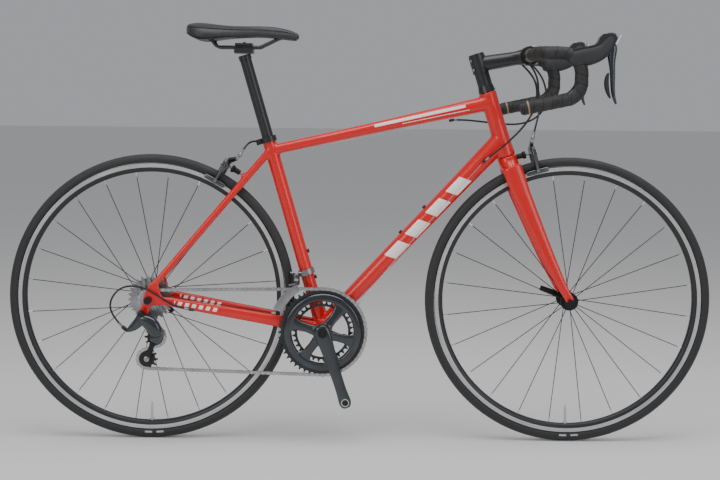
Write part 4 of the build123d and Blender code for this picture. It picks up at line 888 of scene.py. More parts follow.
@dataclass
class Wheel(Assembly):
    """A wheel's rim, tyre, nipples, valve and hub trim."""

    name: str
    body: str

    def centre(self) -> Vector:
        """The wheel's centre, from its packed tyre."""
        low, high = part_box(f"{self.name}_tyre")
        return (low + high) / 2

    def build(self) -> None:
        """Make the wheel's pieces."""
        centre = self.centre()
        self.tyre(centre)
        self.rim(centre)
        self.nipples(centre)
        self.valve(centre)
        self.hub(centre)

    def ride(self, thing: bpy.types.Object, slot: str) -> bpy.types.Object:
        """Fix a piece to the wheel."""
        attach(thing, self.body)
        return thing

    def tyre(self, centre: Vector) -> None:
        """The tyre: a round casing with a slightly raised tread and two moulded lines."""
        half, top = 0.0124, 0.336
        middle = top - half
        profile = []
        for step in range(33):
            angle = math.radians(-128 + 256 * step / 32)
            turn = abs(math.degrees(angle))
            radius = half
            if 38 <= turn < 44:
                radius -= 0.00045
            elif 62 < turn < 70:
                radius -= 0.0002
            profile.append((middle + math.cos(angle) * radius, math.sin(angle) * radius))
        inner = [(middle - 0.0075, 0.0072), (middle - 0.0030, 0.0072), (middle - 0.0030, -0.0072),
                 (middle - 0.0075, -0.0072)]
        thing = Form(f"{self.name}_tyre_casing").turned(profile + inner, centre, SIDE, 160).finish(50)
        finish = WheelRubber(centre)
        self.wardrobe.wear(thing, self.wardrobe.get(f"{self.name}_tyre", finish))
        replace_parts(thing, f"{self.name}_tyre")
        self.ride(thing, "tyre")

    def rim(self, centre: Vector) -> None:
        """The rim: machined tracks with a small step, and a rounded inner face."""
        profile = [(0.3144, 0.0098), (0.3139, 0.01025), (0.3052, 0.01025), (0.3046, 0.0099), (0.3030, 0.0098),
                   (0.2985, 0.0082), (0.2958, 0.0060), (0.2946, 0.0036), (0.2943, 0.0)]
        mirror = [(radius, -y) for radius, y in reversed(profile[:-1])]
        bed = [(0.3144, -0.0086), (0.3095, -0.0086), (0.3095, 0.0086), (0.3144, 0.0086)]
        thing = Form(f"{self.name}_rim_extrusion").turned(profile + mirror + bed, centre, SIDE, 160).finish(35)
        self.wardrobe.wear(thing, self.wardrobe.get(f"{self.name}_rim", RimFinish(centre)))
        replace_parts(thing, f"{self.name}_rim")
        self.ride(thing, "rim_black")

    def nipples(self, centre: Vector) -> None:
        """A silver nipple at each spoke's outer end."""
        form = Form(f"{self.name}_nipples")
        for index in range(24):
            angle = math.radians(-90 + (index + 0.5) * 15)
            out = Vector((math.cos(angle), 0.0, math.sin(angle)))
            side = 1 if index % 2 else -1
            y = SIDE * (side * 0.0015)
            form.rod(centre + out * 0.2840 + y * 1.6, centre + out * 0.2955 + y, 0.00155, 8)
        thing = form.finish()
        self.wardrobe.dress(thing, Stuff.SILVER)
        self.ride(thing, "spoke_steel")

    def valve(self, centre: Vector) -> None:
        """A presta valve at the bottom of the wheel, with its lock ring and knurled end."""
        down = Vector((0.0, 0.0, -1.0))
        form = Form(f"{self.name}_valve")
        form.rod(centre + down * 0.296, centre + down * 0.258, 0.0029, 16)
        form.rod(centre + down * 0.2945, centre + down * 0.2915, 0.0048, 12)
        form.rod(centre + down * 0.258, centre + down * 0.2525, 0.0019, 12)
        form.rod(centre + down * 0.2545, centre + down * 0.2515, 0.0024, 8)
        thing = form.finish()
        self.wardrobe.dress(thing, Stuff.SILVER)
        self.ride(thing, "silver_metal")

    def hub(self, centre: Vector) -> None:
        """The spoke heads on the hub's flanges."""
        front = self.name == "front"
        sides = ((-0.034, 0.021), (0.034, 0.021)) if front else ((-0.018, 0.026), (0.036, 0.026))
        form = Form(f"{self.name}_spoke_heads")
        for index in range(24):
            y, flange = sides[index % 2]
            angle = math.radians(-90 + (index + 0.5) * 15)
            if not front and index % 2 == 0:
                angle += math.radians(62 if index % 4 else -62)
            out = Vector((math.cos(angle), 0.0, math.sin(angle))) * (flange - 0.003)
            face = SIDE * (0.0014 if y > 0 else -0.0014)
            at = centre + out + SIDE * y
            form.rod(at + face * 0.6, at + face * 2.0, 0.0019, 8)
        thing = form.finish()
        self.wardrobe.dress(thing, Stuff.SILVER if not front else Stuff.SPOKE)
        self.ride(thing, "spoke_steel")


# ---------------------------------------------------------------- saddle


@dataclass
class Saddle(Assembly):
    """The padded saddle, its shell and its rails, in millimetres."""

    stations: tuple[tuple[float, float, float, float], ...] = (
        (-410, 22, 973, 15), (-406, 40, 978, 23), (-396, 58, 980.2, 34), (-376, 68.5, 979.8, 41),
        (-352, 66, 977.2, 37), (-326, 55, 974.2, 30), (-296, 38, 972, 25.5), (-262, 27.5, 972.6, 24.5), (-228, 22, 973.3, 25),
        (-196, 19.5, 971.5, 26), (-170, 18, 966.5, 24.5), (-153, 15.5, 959.5, 18.5), (-146, 10, 955, 11))
    lip: tuple[tuple[float, float], ...] = (
        (-0.97, 0.6), (-0.5, 3.0), (0, 3.8), (0.5, 3.0), (0.97, 0.6), (0.94, -2.2), (0.5, -0.6), (0.0, 0.4),
        (-0.5, -0.6), (-0.94, -2.2))
    inset: float = 1.0
    arch: float = 0.62
    swelling: float = 0.0016

    def build(self) -> None:
        """Make the cover, the shell, the edge trim and the rail's seats."""
        cover = self.cover()
        self.wardrobe.dress(cover, Stuff.LEATHER)
        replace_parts(cover, "saddle_cover")
        self.fix(cover, "saddle_skin")
        shell = self.shell()
        self.wardrobe.dress(shell, Stuff.PLASTIC)
        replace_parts(shell, "saddle_shell")
        self.fix(shell, "plastic")
        self.fix(self.wardrobe.dress(self.seams(), Stuff.PLASTIC), "saddle_skin")
        self.fix(self.wardrobe.dress(self.sockets(), Stuff.PLASTIC), "plastic")

    @staticmethod
    def fix(thing: bpy.types.Object, slot: str) -> None:
        """Fix a piece to the seatpost."""
        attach(thing, "seatpost")

    def ring(self, form: Form, station: tuple[float, float, float, float]) -> list[bmesh.types.BMVert]:
        """One arched section's vertices, from the right edge over the crown and back underneath."""
        x, half, top, thick = station
        half, low = half - self.inset, top - thick
        made = []
        for step in range(17):
            turn = math.pi * step / 16
            across = -math.cos(turn)
            rise = math.sin(turn) ** self.arch
            channel = 1.2 * math.exp(-((across * half) / 6.0) ** 2) if -330 < x < -190 else 0.0
            made.append(form.mesh.verts.new(mm(x, across * half, low + (thick - self.inset) * rise - channel)))
        for across in (0.86, 0.45, -0.45, -0.86):
            made.append(form.mesh.verts.new(mm(x, across * half, low - 0.4)))
        return made

    def cover(self) -> bpy.types.Object:
        """The padded cover, swelled a little by cloth pressure over its core."""
        form = Form("saddle_padding")
        thing = form.skin([self.ring(form, station) for station in self.stations]).finish(180, 1)
        settle(thing)
        before = [vertex.co.copy() for vertex in thing.data.vertices]
        self.swell(thing)
        for vertex, start in zip(thing.data.vertices, before):
            moved = vertex.co - start
            if start.z < 0.9565:
                moved *= 0.25
            if moved.length > self.swelling:
                moved = moved.normalized() * self.swelling
            vertex.co = start + moved
        surface = thing.modifiers.new("surface", "SUBSURF")
        surface.levels = surface.render_levels = 1
        return settle(thing)

    @staticmethod
    def swell(thing: bpy.types.Object) -> None:
        """Inflate the cover with cloth pressure and keep the result."""
        cloth = thing.modifiers.new("pad", "CLOTH")
        cloth.settings.use_pressure = True
        cloth.settings.uniform_pressure_force = 2.5
        cloth.settings.effector_weights.gravity = 0.0
        cloth.settings.quality = 5
        cloth.settings.tension_stiffness = 40
        cloth.settings.compression_stiffness = 40
        scene = bpy.context.scene
        for frame in range(1, 11):
            scene.frame_set(frame)
        settle(thing)
        scene.frame_set(1)

    def shell(self) -> bpy.types.Object:
        """The moulded shell that shows as a thin lip under the cover."""
        form = Form("saddle_base")
        form.skin([[form.mesh.verts.new(mm(x, across * half, top - thick + height)) for across, height in self.lip]
                   for x, half, top, thick in self.stations[1:-1]])
        return form.finish(60, 2)

    def seams(self) -> bpy.types.Object:
        """A raised piping line along each side of the crown."""
        form = Form("saddle_piping")
        for side in (-1, 1):
            sections = []
            for x, half, top, thick in self.stations[1:-1]:
                turn = math.radians(32)
                rise = (thick - self.inset) * math.sin(turn) ** self.arch
                place = mm(x, side * math.cos(turn) * (half - self.inset), top - thick + rise)
                sections.append(Section(place, 0.0008, 0.0008))
            form.rings(sections, 8)
        return form.finish(60, 1)

    def sockets(self) -> bpy.types.Object:
        """The blocks that hold the rails' ends."""
        form = Form("rail_sockets")
        for side in (-1, 1):
            form.rings([Section(mm(-356, side * 34, 945), 0.009, 0.008),
                        Section(mm(-342, side * 33, 935), 0.0062, 0.006)], 16)
        form.rings([Section(mm(-180, 0, 948.5), 0.0150, 0.0055), Section(mm(-206, 0, 943.5), 0.0135, 0.0052)], 16)
        return form.finish(40, 1)


# ---------------------------------------------------------------- cockpit


@dataclass
class Cockpit(Assembly):
    """The stem, bar tape, hoods, levers and their paddles."""

    bar_centre: tuple[float, float] = (390.0, 908.5)
    corners: tuple[tuple[float, float], ...] = ((482.0, 906.5), (481.0, 812.0), (351.0, 784.7))
    radii: tuple[float, ...] = (40.0, 44.0, 38.0)
    drop: float = 199.0
    tape_pitch: float = 0.0021
    skins: list[bpy.types.Object] = field(default_factory=list)

    def build(self) -> None:
        """Make the cockpit."""
        self.stem()
        for side, name in ((-1, "right"), (1, "left")):
            route = self.route(side)
            self.tape(route, name)
            self.trims(route, name)
            self.hoods(side, name)
            self.lever(side, name)
        self.keep(fuse("brake_hood_skins", self.skins, 0.0016, 3), Stuff.HOOD, "hood_rubber")
        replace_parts(bpy.data.objects["brake_hood_skins"], "brake_hoods")
        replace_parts(bpy.data.objects["bar_tape_right"], "bar_tape")

    def stem(self) -> None:
        """The forged stem's body, its clamp and the four faceplate bolts."""
        steer = steering_axis()
        root = middle(HEAD_TOP) + steer * 0.0675
        bar = middle(self.bar_centre)
        away = (bar - root).normalized()
        body = [Section(root + away * 0.006, 0.0170, 0.0176, away, 2.3),
                Section(root + away * 0.020, 0.0160, 0.0160, away, 2.4),
                Section(root.lerp(bar, 0.5), 0.0155, 0.0150, away, 2.5),
                Section(bar - away * 0.026, 0.0175, 0.0165, away, 2.5),
                Section(bar - away * 0.0145, 0.0200, 0.0185, away, 2.6)]
        parts = [Form("stem_neck").rings(body, 32).finish(),
                 Form("stem_collar").rod(root - steer * 0.0195, root + steer * 0.0205, 0.0182, 32).finish()]
        neck = fuse("stem_forging", parts, 0.0014, 5)
        self.keep(neck, Stuff.BLACK, "black_metal")
        form = Form("stem_bolts")
        for low in (-0.012, 0.010):
            at = root - away * 0.0178 + steer * low
            form.rod(at + SIDE * -0.0100, at + SIDE * -0.0165, 0.0034, 16)
        up = away.cross(SIDE).normalized() * -1
        for across in (-0.0155, 0.0155):
            for high in (-0.0195, 0.0195):
                at = bar + away * 0.0100 + up * high + SIDE * across
                form.rod(at, at + away * 0.0070, 0.0030, 16)
        self.keep(form.finish(40, 0, 0.0004), Stuff.STEEL, "steel")

    def route(self, side: int) -> list[Vector]:
        """Close-set points along one half of the bar, from the middle outwards and round the drop."""
        turns = [middle(place, side * self.drop) for place in (self.bar_centre, *self.corners)]
        return self.rounded([middle(self.bar_centre, side * 74), *turns], [radius * MM for radius in self.radii])

    @staticmethod
    def rounded(corners: list[Vector], radii: list[float]) -> list[Vector]:
        """A path through corners with a rounded bend at each."""
        path = [corners[0]]
        for before, here, after, radius in zip(corners, corners[1:], corners[2:], radii):
            inward, outward = (before - here).normalized(), (after - here).normalized()
            half = inward.angle(outward) / 2
            reach = radius / math.tan(half)
            middle = here + (inward + outward).normalized() * (radius / math.sin(half))
            start, end = here + inward * reach - middle, here + outward * reach - middle
            for step in range(13):
                path.append(middle + start.normalized().slerp(end.normalized(), step / 12) * radius)
        path.append(corners[-1])
        return path

    def even(self, route: list[Vector], pitch: float) -> list[Vector]:
        """The same path with even spacing."""
        lengths = [0.0]
        for first, last in zip(route, route[1:]):
            lengths.append(lengths[-1] + (last - first).length)
        count = max(2, round(lengths[-1] / pitch))
        made, leg = [], 0
        for index in range(count + 1):
            reach = lengths[-1] * index / count
            while leg < len(lengths) - 2 and lengths[leg + 1] < reach:
                leg += 1
            span = lengths[leg + 1] - lengths[leg]
            made.append(route[leg].lerp(route[leg + 1], (reach - lengths[leg]) / span if span else 0.0))
        return made

    def tape(self, route: list[Vector], name: str) -> None:
        """The wound tape: a skin that steps at each overlapping turn of its helix."""
        points = self.even(route, self.tape_pitch)
        form = Form(f"bar_tape_{name}")
        mesh = form.mesh
        layer = mesh.loops.layers.uv.new("along")
        rings, side = [], Vector((0.0, 0.0, 1.0))
        for index, place in enumerate(points):
            along = (points[min(index + 1, len(points) - 1)] - points[max(index - 1, 0)]).normalized()
            side = (side - along * side.dot(along)).normalized()
            up = along.cross(side)
            ring = []
            for step in range(40):
                turn = math.tau * step / 40
                wound = (index * self.tape_pitch / 0.021 + step / 40) % 1.0
                radius = 0.01455 + 0.00075 * wound
                if index in (0, len(points) - 1):
                    radius = 0.0124
                ring.append(mesh.verts.new(place + (side * math.cos(turn) + up * math.sin(turn)) * radius))
            rings.append(ring)
        for index, (first, last) in enumerate(zip(rings, rings[1:])):
            for step in range(40):
                following = (step + 1) % 40
                face = mesh.faces.new((first[step], first[following], last[following], last[step]))
                corners = ((step, index), (step + 1, index), (step + 1, index + 1), (step, index + 1))
                for loop, (turn, row) in zip(face.loops, corners):
                    loop[layer].uv = (turn / 40, row * self.tape_pitch)
        self.keep(form.finish(180), Stuff.TAPE, "tape")

    def trims(self, route: list[Vector], name: str) -> None:
        """The copper edge rings of the tape and the plug in the bar's end."""
        points = self.even(route, 0.004)
        form = Form(f"tape_edges_{name}")
        for index in (0, len(points) - 5):
            start, end = points[index], points[index + 1]
            along = (end - start).normalized()
            form.turned([(0.0128, 0.0), (0.01545, 0.0004), (0.01545, 0.0036), (0.0128, 0.004)], start, along, 40)
        self.keep(form.finish(40), Stuff.COPPER, "tape")
        end, along = points[-1], (points[-1] - points[-2]).normalized()
        plug = Form(f"bar_plug_{name}").turned([(0.0, 0.0045), (0.008, 0.0042), (0.0128, 0.0026), (0.0136, 0.0004),
                                                (0.0136, -0.0008), (0.0, -0.0008)], end, along, 40, True).finish(50)
        self.keep(plug, Stuff.PLASTIC, "plastic")

    def hoods(self, side: int, name: str) -> None:
        """One rubber hood: a body that grows from the bar to the raised horn."""
        y = side * self.drop
        knots = [(449, 896, 15.0, 16.6, 0.0), (466, 898, 16.0, 19.6, 0.0), (486, 900.0, 16.2, 22.4, 0.1),
                 (506, 904.5, 15.8, 21.2, 0.3), (522, 911.5, 15.2, 19.2, 0.6), (534, 923, 14.4, 17.6, 0.95),
                 (541.5, 937, 13.4, 15.6, 1.2), (545.5, 947.5, 12.0, 12.6, 1.4), (547, 954.0, 8.5, 8.0, 1.5)]
        sections = []
        for x, z, across, deep, pitch in knots:
            along = Vector((math.cos(pitch), 0.0, math.sin(pitch)))
            sections.append(Section(mm(x, y, z), across * MM, deep * MM, along, 2.35))
        self.skins.append(Form(f"hood_{name}").rings(sections, 32).finish(60, 1))

    def lever(self, side: int, name: str) -> None:
        """One brake lever's blade with its nameplate, and the shift paddle behind it."""
        y = side * self.drop
        knots = [(549, 931, 7.6, 7.0), (549.5, 921, 8.4, 9.4), (547, 908, 8.8, 10.6), (546.5, 895, 8.6, 8.6),
                 (548.0, 880, 8.2, 6.6), (549.4, 862, 7.8, 5.8), (549.6, 845, 7.4, 5.4), (550.2, 828, 7.1, 4.7),
                 (552.2, 813, 6.7, 3.9), (556.0, 801, 5.8, 3.1), (558.6, 795.6, 3.6, 1.7)]
        blade = Form(f"lever_blade_{name}").rings(level(knots, y, 2.5), 28).finish(60, 1)
        self.keep(blade, Stuff.LEVER, "lever_metal", f"brake_lever_{name}")
        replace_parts(blade, f"brake_lever_{name}")
        outline = [(-0.0086, -0.0120), (0.0086, -0.0120), (0.0072, 0.0110), (-0.0072, 0.0110)]
        plate = Form(f"lever_plate_{name}").slab(outline, -0.0028, 0.0028, 0.0016)
        lean, turn = Matrix.Rotation(math.radians(27), 4, "Y"), Matrix.Rotation(math.radians(90), 4, "Z")
        plate.carry(Matrix.Translation(mm(558.8, y, 938.5)) @ lean @ turn)
        self.keep(plate.finish(30), Stuff.PLATE, "lever_metal", f"brake_lever_{name}")
        pivot = Form(f"lever_pin_{name}").rod(mm(536.6, y - 8.6, 905.3), mm(536.6, y + 8.6, 905.3), 0.0029, 20)
        self.keep(pivot.finish(30, 0, 0.0005), Stuff.STEEL, "lever_metal", f"brake_lever_{name}")
        knots = [(540.8, 866, 5.6, 1.8), (536.6, 857, 6.6, 4.2), (535.6, 843, 7.2, 5.4), (537.0, 830, 7.2, 5.0),
                 (540.6, 818, 6.6, 3.6), (545.4, 808, 5.2, 1.8)]
        paddle = Form(f"paddle_blade_{name}").rings(level(knots, y, 2.6), 24).finish(60, 1)
        self.keep(paddle, Stuff.PLASTIC, "plastic", f"shift_paddle_{name}")
        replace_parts(paddle, f"shift_paddle_{name}")


# ---------------------------------------------------------------- brakes


@dataclass
class Brakes(Assembly):
    """The two dual-pivot calipers: forged arms, shoes and barrels."""

    def build(self) -> None:
        """Make both calipers."""
        self.caliper("front", mm(490, 0, 336), mm(408.6, 0, 635.3), -1.0, (mm(400, -31, 722), mm(396, -35, 709)))
        self.caliper("rear", mm(-490, 0, 336), mm(-336.3, 0, 603.5), 1.0, (mm(-280, -24, 676), mm(-288, -27, 664)))

    def caliper(self, name: str, axle: Vector, shoe: Vector, inward: float, cable: tuple[Vector, Vector]) -> None:
        """One caliper, built in its own plane: sideways, outwards from the axle, and along the wheel.

        Args:
            name: front or rear.
            axle: the wheel's centre.
            shoe: the shoes' place on the middle plane.
            inward: 1 where the frame lies ahead of the caliper, -1 where it lies behind.
            cable: the housing's end and the arm's end that holds it.
        """
        out = (shoe - axle).normalized()
        along = SIDE.cross(out)
        centre = axle + out * 0.357
        for side, label in ((-1, "right"), (1, "left")):
            low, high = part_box(f"{name}_brake_arm_{label}")
            self.arm(name, label, side, centre, out, along, (low + high) / 2, cable[1])
        body = "steering" if name == "front" else "frame"
        collar = [(0.0031, 0.0100), (0.0082, 0.0100), (0.0088, 0.0115), (0.0088, 0.0160), (0.0064, 0.0185),
                  (0.0060, 0.0330), (0.0031, 0.0330)]
        spacer = Form(f"{name}_caliper_spacer").turned(collar, centre, along * inward, 40)
        self.keep(spacer.finish(35), Stuff.SATIN, "silver_metal", body)
        reach = (cable[0] - cable[1]).normalized()
        sleeve = [(0.0, -0.003), (0.0031, -0.003), (0.0031, 0.006), (0.0044, 0.0068), (0.0046, 0.0125),
                  (0.0036, 0.0150), (0.0, 0.0150)]
        barrel = Form(f"{name}_barrel").turned(sleeve, cable[1], reach, 24, True)
        self.keep(barrel.finish(30), Stuff.STEEL, "steel", f"{name}_brake_arm_left")

    def arm(self, name: str, label: str, side: int, centre: Vector, out: Vector, along: Vector, middle: Vector,
            grip: Vector) -> None:
        """One arm from its shoe, round the tyre, to its pivot and the cable's end."""
        body = f"{name}_brake_arm_{label}"
        offset = (middle - centre).dot(along)

        def at(u: float, v: float, w: float = 0.0) -> Vector:
            """A point of the caliper's own frame, in millimetres."""
            return centre + SIDE * (u * MM) + out * (v * MM) + along * (offset + w * MM)

        if side < 0:
            runs = [[(20.5, -40, 4.8, 6.2), (24.8, -30, 5.2, 6.4), (29.0, -17, 5.6, 6.8), (29.5, -5, 5.8, 7.4),
                     (27, 6, 5.6, 7.0), (24, 15, 4.4, 5.4)],
                    [(30, -9, 5.2, 6.0), (22, 0, 5.6, 8.0), (13, 2, 5.6, 8.6), (7, 2, 4.6, 6.6)]]
        else:
            runs = [[(20.5, -40, 4.8, 6.2), (25.2, -30, 5.2, 6.4), (29.5, -16, 5.6, 6.8), (29.5, -3, 5.8, 7.2),
                     (22, 6, 5.8, 8.0), (10, 9, 5.8, 8.6), (-2, 12, 5.6, 7.6)],
                    [(6, 0, 5.2, 8.0), (0, 4, 5.6, 9.0), (-9, 15, 5.2, 6.6)]]
        parts = []
        for run in runs:
            sections = [Section(at(side * u, v), deep * MM, across * MM, side=along, square=2.7)
                        for u, v, deep, across in run]
            if side > 0:
                neck = grip + (sections[-1].centre - grip) * 0.35
                sections.append(Section(neck, 0.0046, 0.0050, side=along, square=2.5))
                sections.append(Section(grip, 0.0040, 0.0042, side=along, square=2.2))
            parts.append(Form("run").rings(sections, 24).finish())
        arm = fuse(f"{name}_caliper_{label}", parts, 0.0011, 5)
        self.keep(arm, Stuff.CALIPER, "silver_metal", body)
        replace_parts(arm, body)
        head = Form(f"{name}_pivot_cap_{label}")
        place, sense = at(-14, 0) if side < 0 else at(0, 0), 1 if name == "front" else -1
        head.rod(place + along * (sense * 0.0040), place + along * (sense * 0.0086), 0.0056, 6)
        self.keep(head.finish(35, 0, 0.0004), Stuff.SILVER, "steel", body)
        shoe = Form(f"{name}_shoe_{label}")
        sections = [Section(at(side * 17.4, -44.5, w), 0.0036 * size, 0.0056 * size, along, 2.6)
                    for w, size in ((-27, 0.75), (-24, 1.0), (0, 1.06), (22, 1.0), (25, 0.75))]
        shoe.rings(sections, 20)
        self.keep(shoe.finish(60), Stuff.CALIPER, "silver_metal", body)
        pad = Form(f"{name}_pad_{label}")
        sections = [Section(at(side * 13.9, -44.8, w), 0.0017, 0.0050 * size, along, 3.0)
                    for w, size in ((-26, 0.8), (-23, 1.0), (0, 1.0), (21, 1.0), (24, 0.8))]
        pad.rings(sections, 20)
        self.keep(pad.finish(60), Stuff.PAD, "plastic", body)
        bolt = Form(f"{name}_shoe_bolt_{label}").rod(at(side * 17, -44), at(side * 27.5, -42), 0.0042, 12)
        bolt.rod(at(side * 27.5, -42), at(side * 29.0, -41.7), 0.0032, 6)
        self.keep(bolt.finish(40, 0, 0.0003), Stuff.STEEL, "steel", body)


# ---------------------------------------------------------------- drive


@dataclass
class Drive(Assembly):
    """Crank arms, derailleur bodies and pulleys."""

    def build(self) -> None:
        """Make the drive's detailed pieces."""
        bracket = middle(BRACKET)
        right = math.radians(-71.5)
        self.crank("right", bracket, right, -1)
        self.crank("left", bracket, right + math.pi, 1)
        self.spider(bracket, right)
        self.rear_derailleur()
        self.front_derailleur()

    def crank(self, name: str, bracket: Vector, angle: float, side: int) -> None:
        """One forged arm with a tapered body, a round eye and a dished recess."""
        out = Vector((math.cos(angle), 0.0, math.sin(angle)))

        def at(reach: float, y: float) -> Vector:
            """A point along the arm."""
            return bracket + out * (reach * MM) + SIDE * (side * y * MM)

        knots = [(-19, 66.0, 5.0, 8.0), (-15, 66.0, 6.6, 14.0), (-6, 66.2, 7.2, 18.4), (6, 66.3, 7.3, 19.0),
                 (22, 66.5, 7.2, 17.8), (45, 66.6, 7.0, 15.6), (75, 66.8, 6.6, 13.8), (110, 67.2, 6.1, 12.6),
                 (140, 67.6, 5.8, 12.2), (158, 67.8, 5.7, 13.8), (170, 67.8, 5.7, 14.8), (179, 67.8, 5.5, 12.2),
                 (184.2, 67.8, 4.8, 6.0)]
        sections = [Section(at(reach, y), across * MM, deep * MM, out, 2.7) for reach, y, across, deep in knots]
        arm = Form(f"crank_arm_{name}").rings(sections, 36).finish(60, 1)
        self.keep(arm, Stuff.CRANK, "crank_metal", "crankset")
        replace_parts(arm, f"crank_{name}")
        rim = [(0.0072, -0.0068), (0.0092, -0.0068), (0.0092, 0.0062), (0.0072, 0.0062)]
        eye = Form(f"crank_eye_{name}").turned(rim, at(170, 67.8), SIDE, 40)
        self.keep(eye.finish(40, 0, 0.0004), Stuff.SILVER, "crank_metal", "crankset")
        # Painted shade: a matt black disc fills the pedal hole in the eye, standing for the shade inside it.
        hole = [(0.0, -0.0060), (0.00725, -0.0060), (0.00725, 0.0050), (0.0, 0.0050)]
        hole_shade_disc = Form(f"crank_hole_shade_{name}").turned(hole, at(170, 67.8), SIDE, 32, True)
        self.keep(hole_shade_disc.finish(40), Stuff.PAD, "crank_metal", "crankset")
        lid = [(0.0, 0.0026), (0.0050, 0.0026), (0.0056, 0.0018), (0.0098, 0.0018), (0.0106, 0.0006),
               (0.0106, -0.0030), (0.0, -0.0030)]
        cap = Form(f"crank_cap_{name}").turned(lid, at(0, 73.6), SIDE * side, 40, True)
        self.keep(cap.finish(35), Stuff.SATIN, "crank_metal", "crankset")

    def spider(self, bracket: Vector, angle: float) -> None:
        """The sculpted spider, whose arms flare into a hollow-formed ring."""
        band = [(0.0725, -0.0530), (0.0735, -0.0560), (0.0765, -0.0578), (0.0870, -0.0568), (0.0905, -0.0540),
                (0.0915, -0.0505), (0.0905, -0.0489), (0.0735, -0.0489)]
        parts = [Form("band").turned(band, bracket, SIDE, 96).finish()]
        for offset in (-125, -55, 55, 125):
            turn = angle + math.radians(offset)
            out = Vector((math.cos(turn), 0.0, math.sin(turn)))
            knots = [(8, -60.0, 5.6, 13.0), (22, -59.2, 5.0, 11.6), (38, -57.0, 4.4, 10.2), (54, -55.2, 3.8, 10.6),
                     (66, -53.8, 3.4, 14.4), (75, -53.2, 3.2, 20.5), (80, -53.0, 2.8, 22.0)]
            sections = [Section(bracket + out * (reach * MM) + SIDE * (y * MM), across * MM, deep * MM, out, 2.6)
                        for reach, y, across, deep in knots]
            parts.append(Form("arm").rings(sections, 28).finish())
        out = Vector((math.cos(angle), 0.0, math.sin(angle)))
        knots = [(10, -60, 6, 15), (40, -58, 5.4, 14), (66, -55.5, 4.6, 17), (78, -54.5, 3.8, 22)]
        sections = [Section(bracket + out * (reach * MM) + SIDE * (y * MM), across * MM, deep * MM, out, 2.6)
                    for reach, y, across, deep in knots]
        parts.append(Form("root").rings(sections, 28).finish())
        parts.append(Form("boss").rod(bracket + SIDE * -0.0655, bracket + SIDE * -0.0530, 0.0225, 36).finish())
        skin = fuse("crank_spider", parts, 0.0013, 6)
        self.keep(skin, Stuff.CRANK, "crank_metal", "crankset")
        tube = [(0.0095, -0.066), (0.012, -0.066), (0.012, 0.060), (0.0095, 0.060)]
        spindle = Form("spindle").turned(tube, bracket, SIDE, 40)
        self.keep(spindle.finish(40), Stuff.STEEL, "crank_metal", "crankset")

    def rear_derailleur(self) -> None:
        """The bracket knuckle, the broad link, the lower knuckle and the cage with its pulleys' caps."""
        self.knuckle("derailleur_bracket", [(-537, 267, 4.4, 4.6), (-528, 270, 6.2, 6.6), (-516, 278, 8.5, 10.0),
                                            (-507, 290, 10.0, 12.5), (-500, 302, 10.0, 12.5), (-495, 309, 7.0, 8.0)],
                     -84, "derailleur_body", "rear_derailleur_body")
        self.knuckle("derailleur_arm", [(-511, 297, 8.5, 7.0), (-500, 295, 11.0, 12.5), (-486, 288, 12.5, 17.0),
                                        (-474, 276, 13.0, 17.5), (-466, 262, 12.0, 14.0), (-464, 253, 7.5, 9.0)], -87,
                     "derailleur_link", "rear_derailleur_link")
        self.knuckle("derailleur_knee", [(-462, 266, 7.5, 9.5), (-466, 256, 10.2, 12.6), (-471, 247, 10.8, 13.0),
                                         (-477, 239, 7.0, 9.0)], -81, "derailleur_knuckle", "rear_derailleur_knuckle")
        head = [(0.0, 0.0022), (0.0042, 0.0022), (0.0062, 0.0012), (0.0086, 0.0008), (0.0092, -0.0006), (0.0, -0.0006)]
        bolt = Form("hanger_bolt").turned(head, mm(-502, -95.6, 307), SIDE * -1.0, 32, True)
        self.keep(bolt.finish(35), Stuff.SATIN, "steel", "derailleur_body")
        start, end = mm(-536, -83.5, 266.5), mm(-547, -82, 276)
        sleeve = [(0.0, -0.002), (0.0032, -0.002), (0.0032, 0.004), (0.0045, 0.005), (0.0047, 0.0125),
                  (0.0036, 0.0150), (0.0, 0.0150)]
        barrel = Form("derailleur_barrel").turned(sleeve, start, end - start, 24, True)
        self.keep(barrel.finish(30), Stuff.SATIN, "black_metal", "derailleur_body")
        guide, tension = middle(GUIDE_PULLEY), middle(TENSION_PULLEY)
        self.cage(guide, tension)
        for name, centre in (("guide_pulley", guide), ("tension_pulley", tension)):
            low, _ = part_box(name)
            disc = [(0.0, 0.0), (0.0062, 0.0), (0.0074, -0.0008), (0.0074, -0.0018), (0.0, -0.0018)]
            place = Vector((centre.x, low.y - 0.0042, centre.z))
            cap = Form(f"{name}_cap").turned(disc, place, SIDE * -1.0, 32, True)
            self.keep(cap.finish(40), Stuff.STEEL, "steel", "derailleur_cage")

    def knuckle(self, name: str, knots: list, y: float, body: str, node: str) -> None:
        """One forged, glossy piece of the derailleur, swelling along its knots."""
        piece = Form(name).rings(level(knots, y, 2.6), 28).finish(60, 2)
        self.keep(piece, Stuff.CRANK, "black_metal", body)
        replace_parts(piece, node)

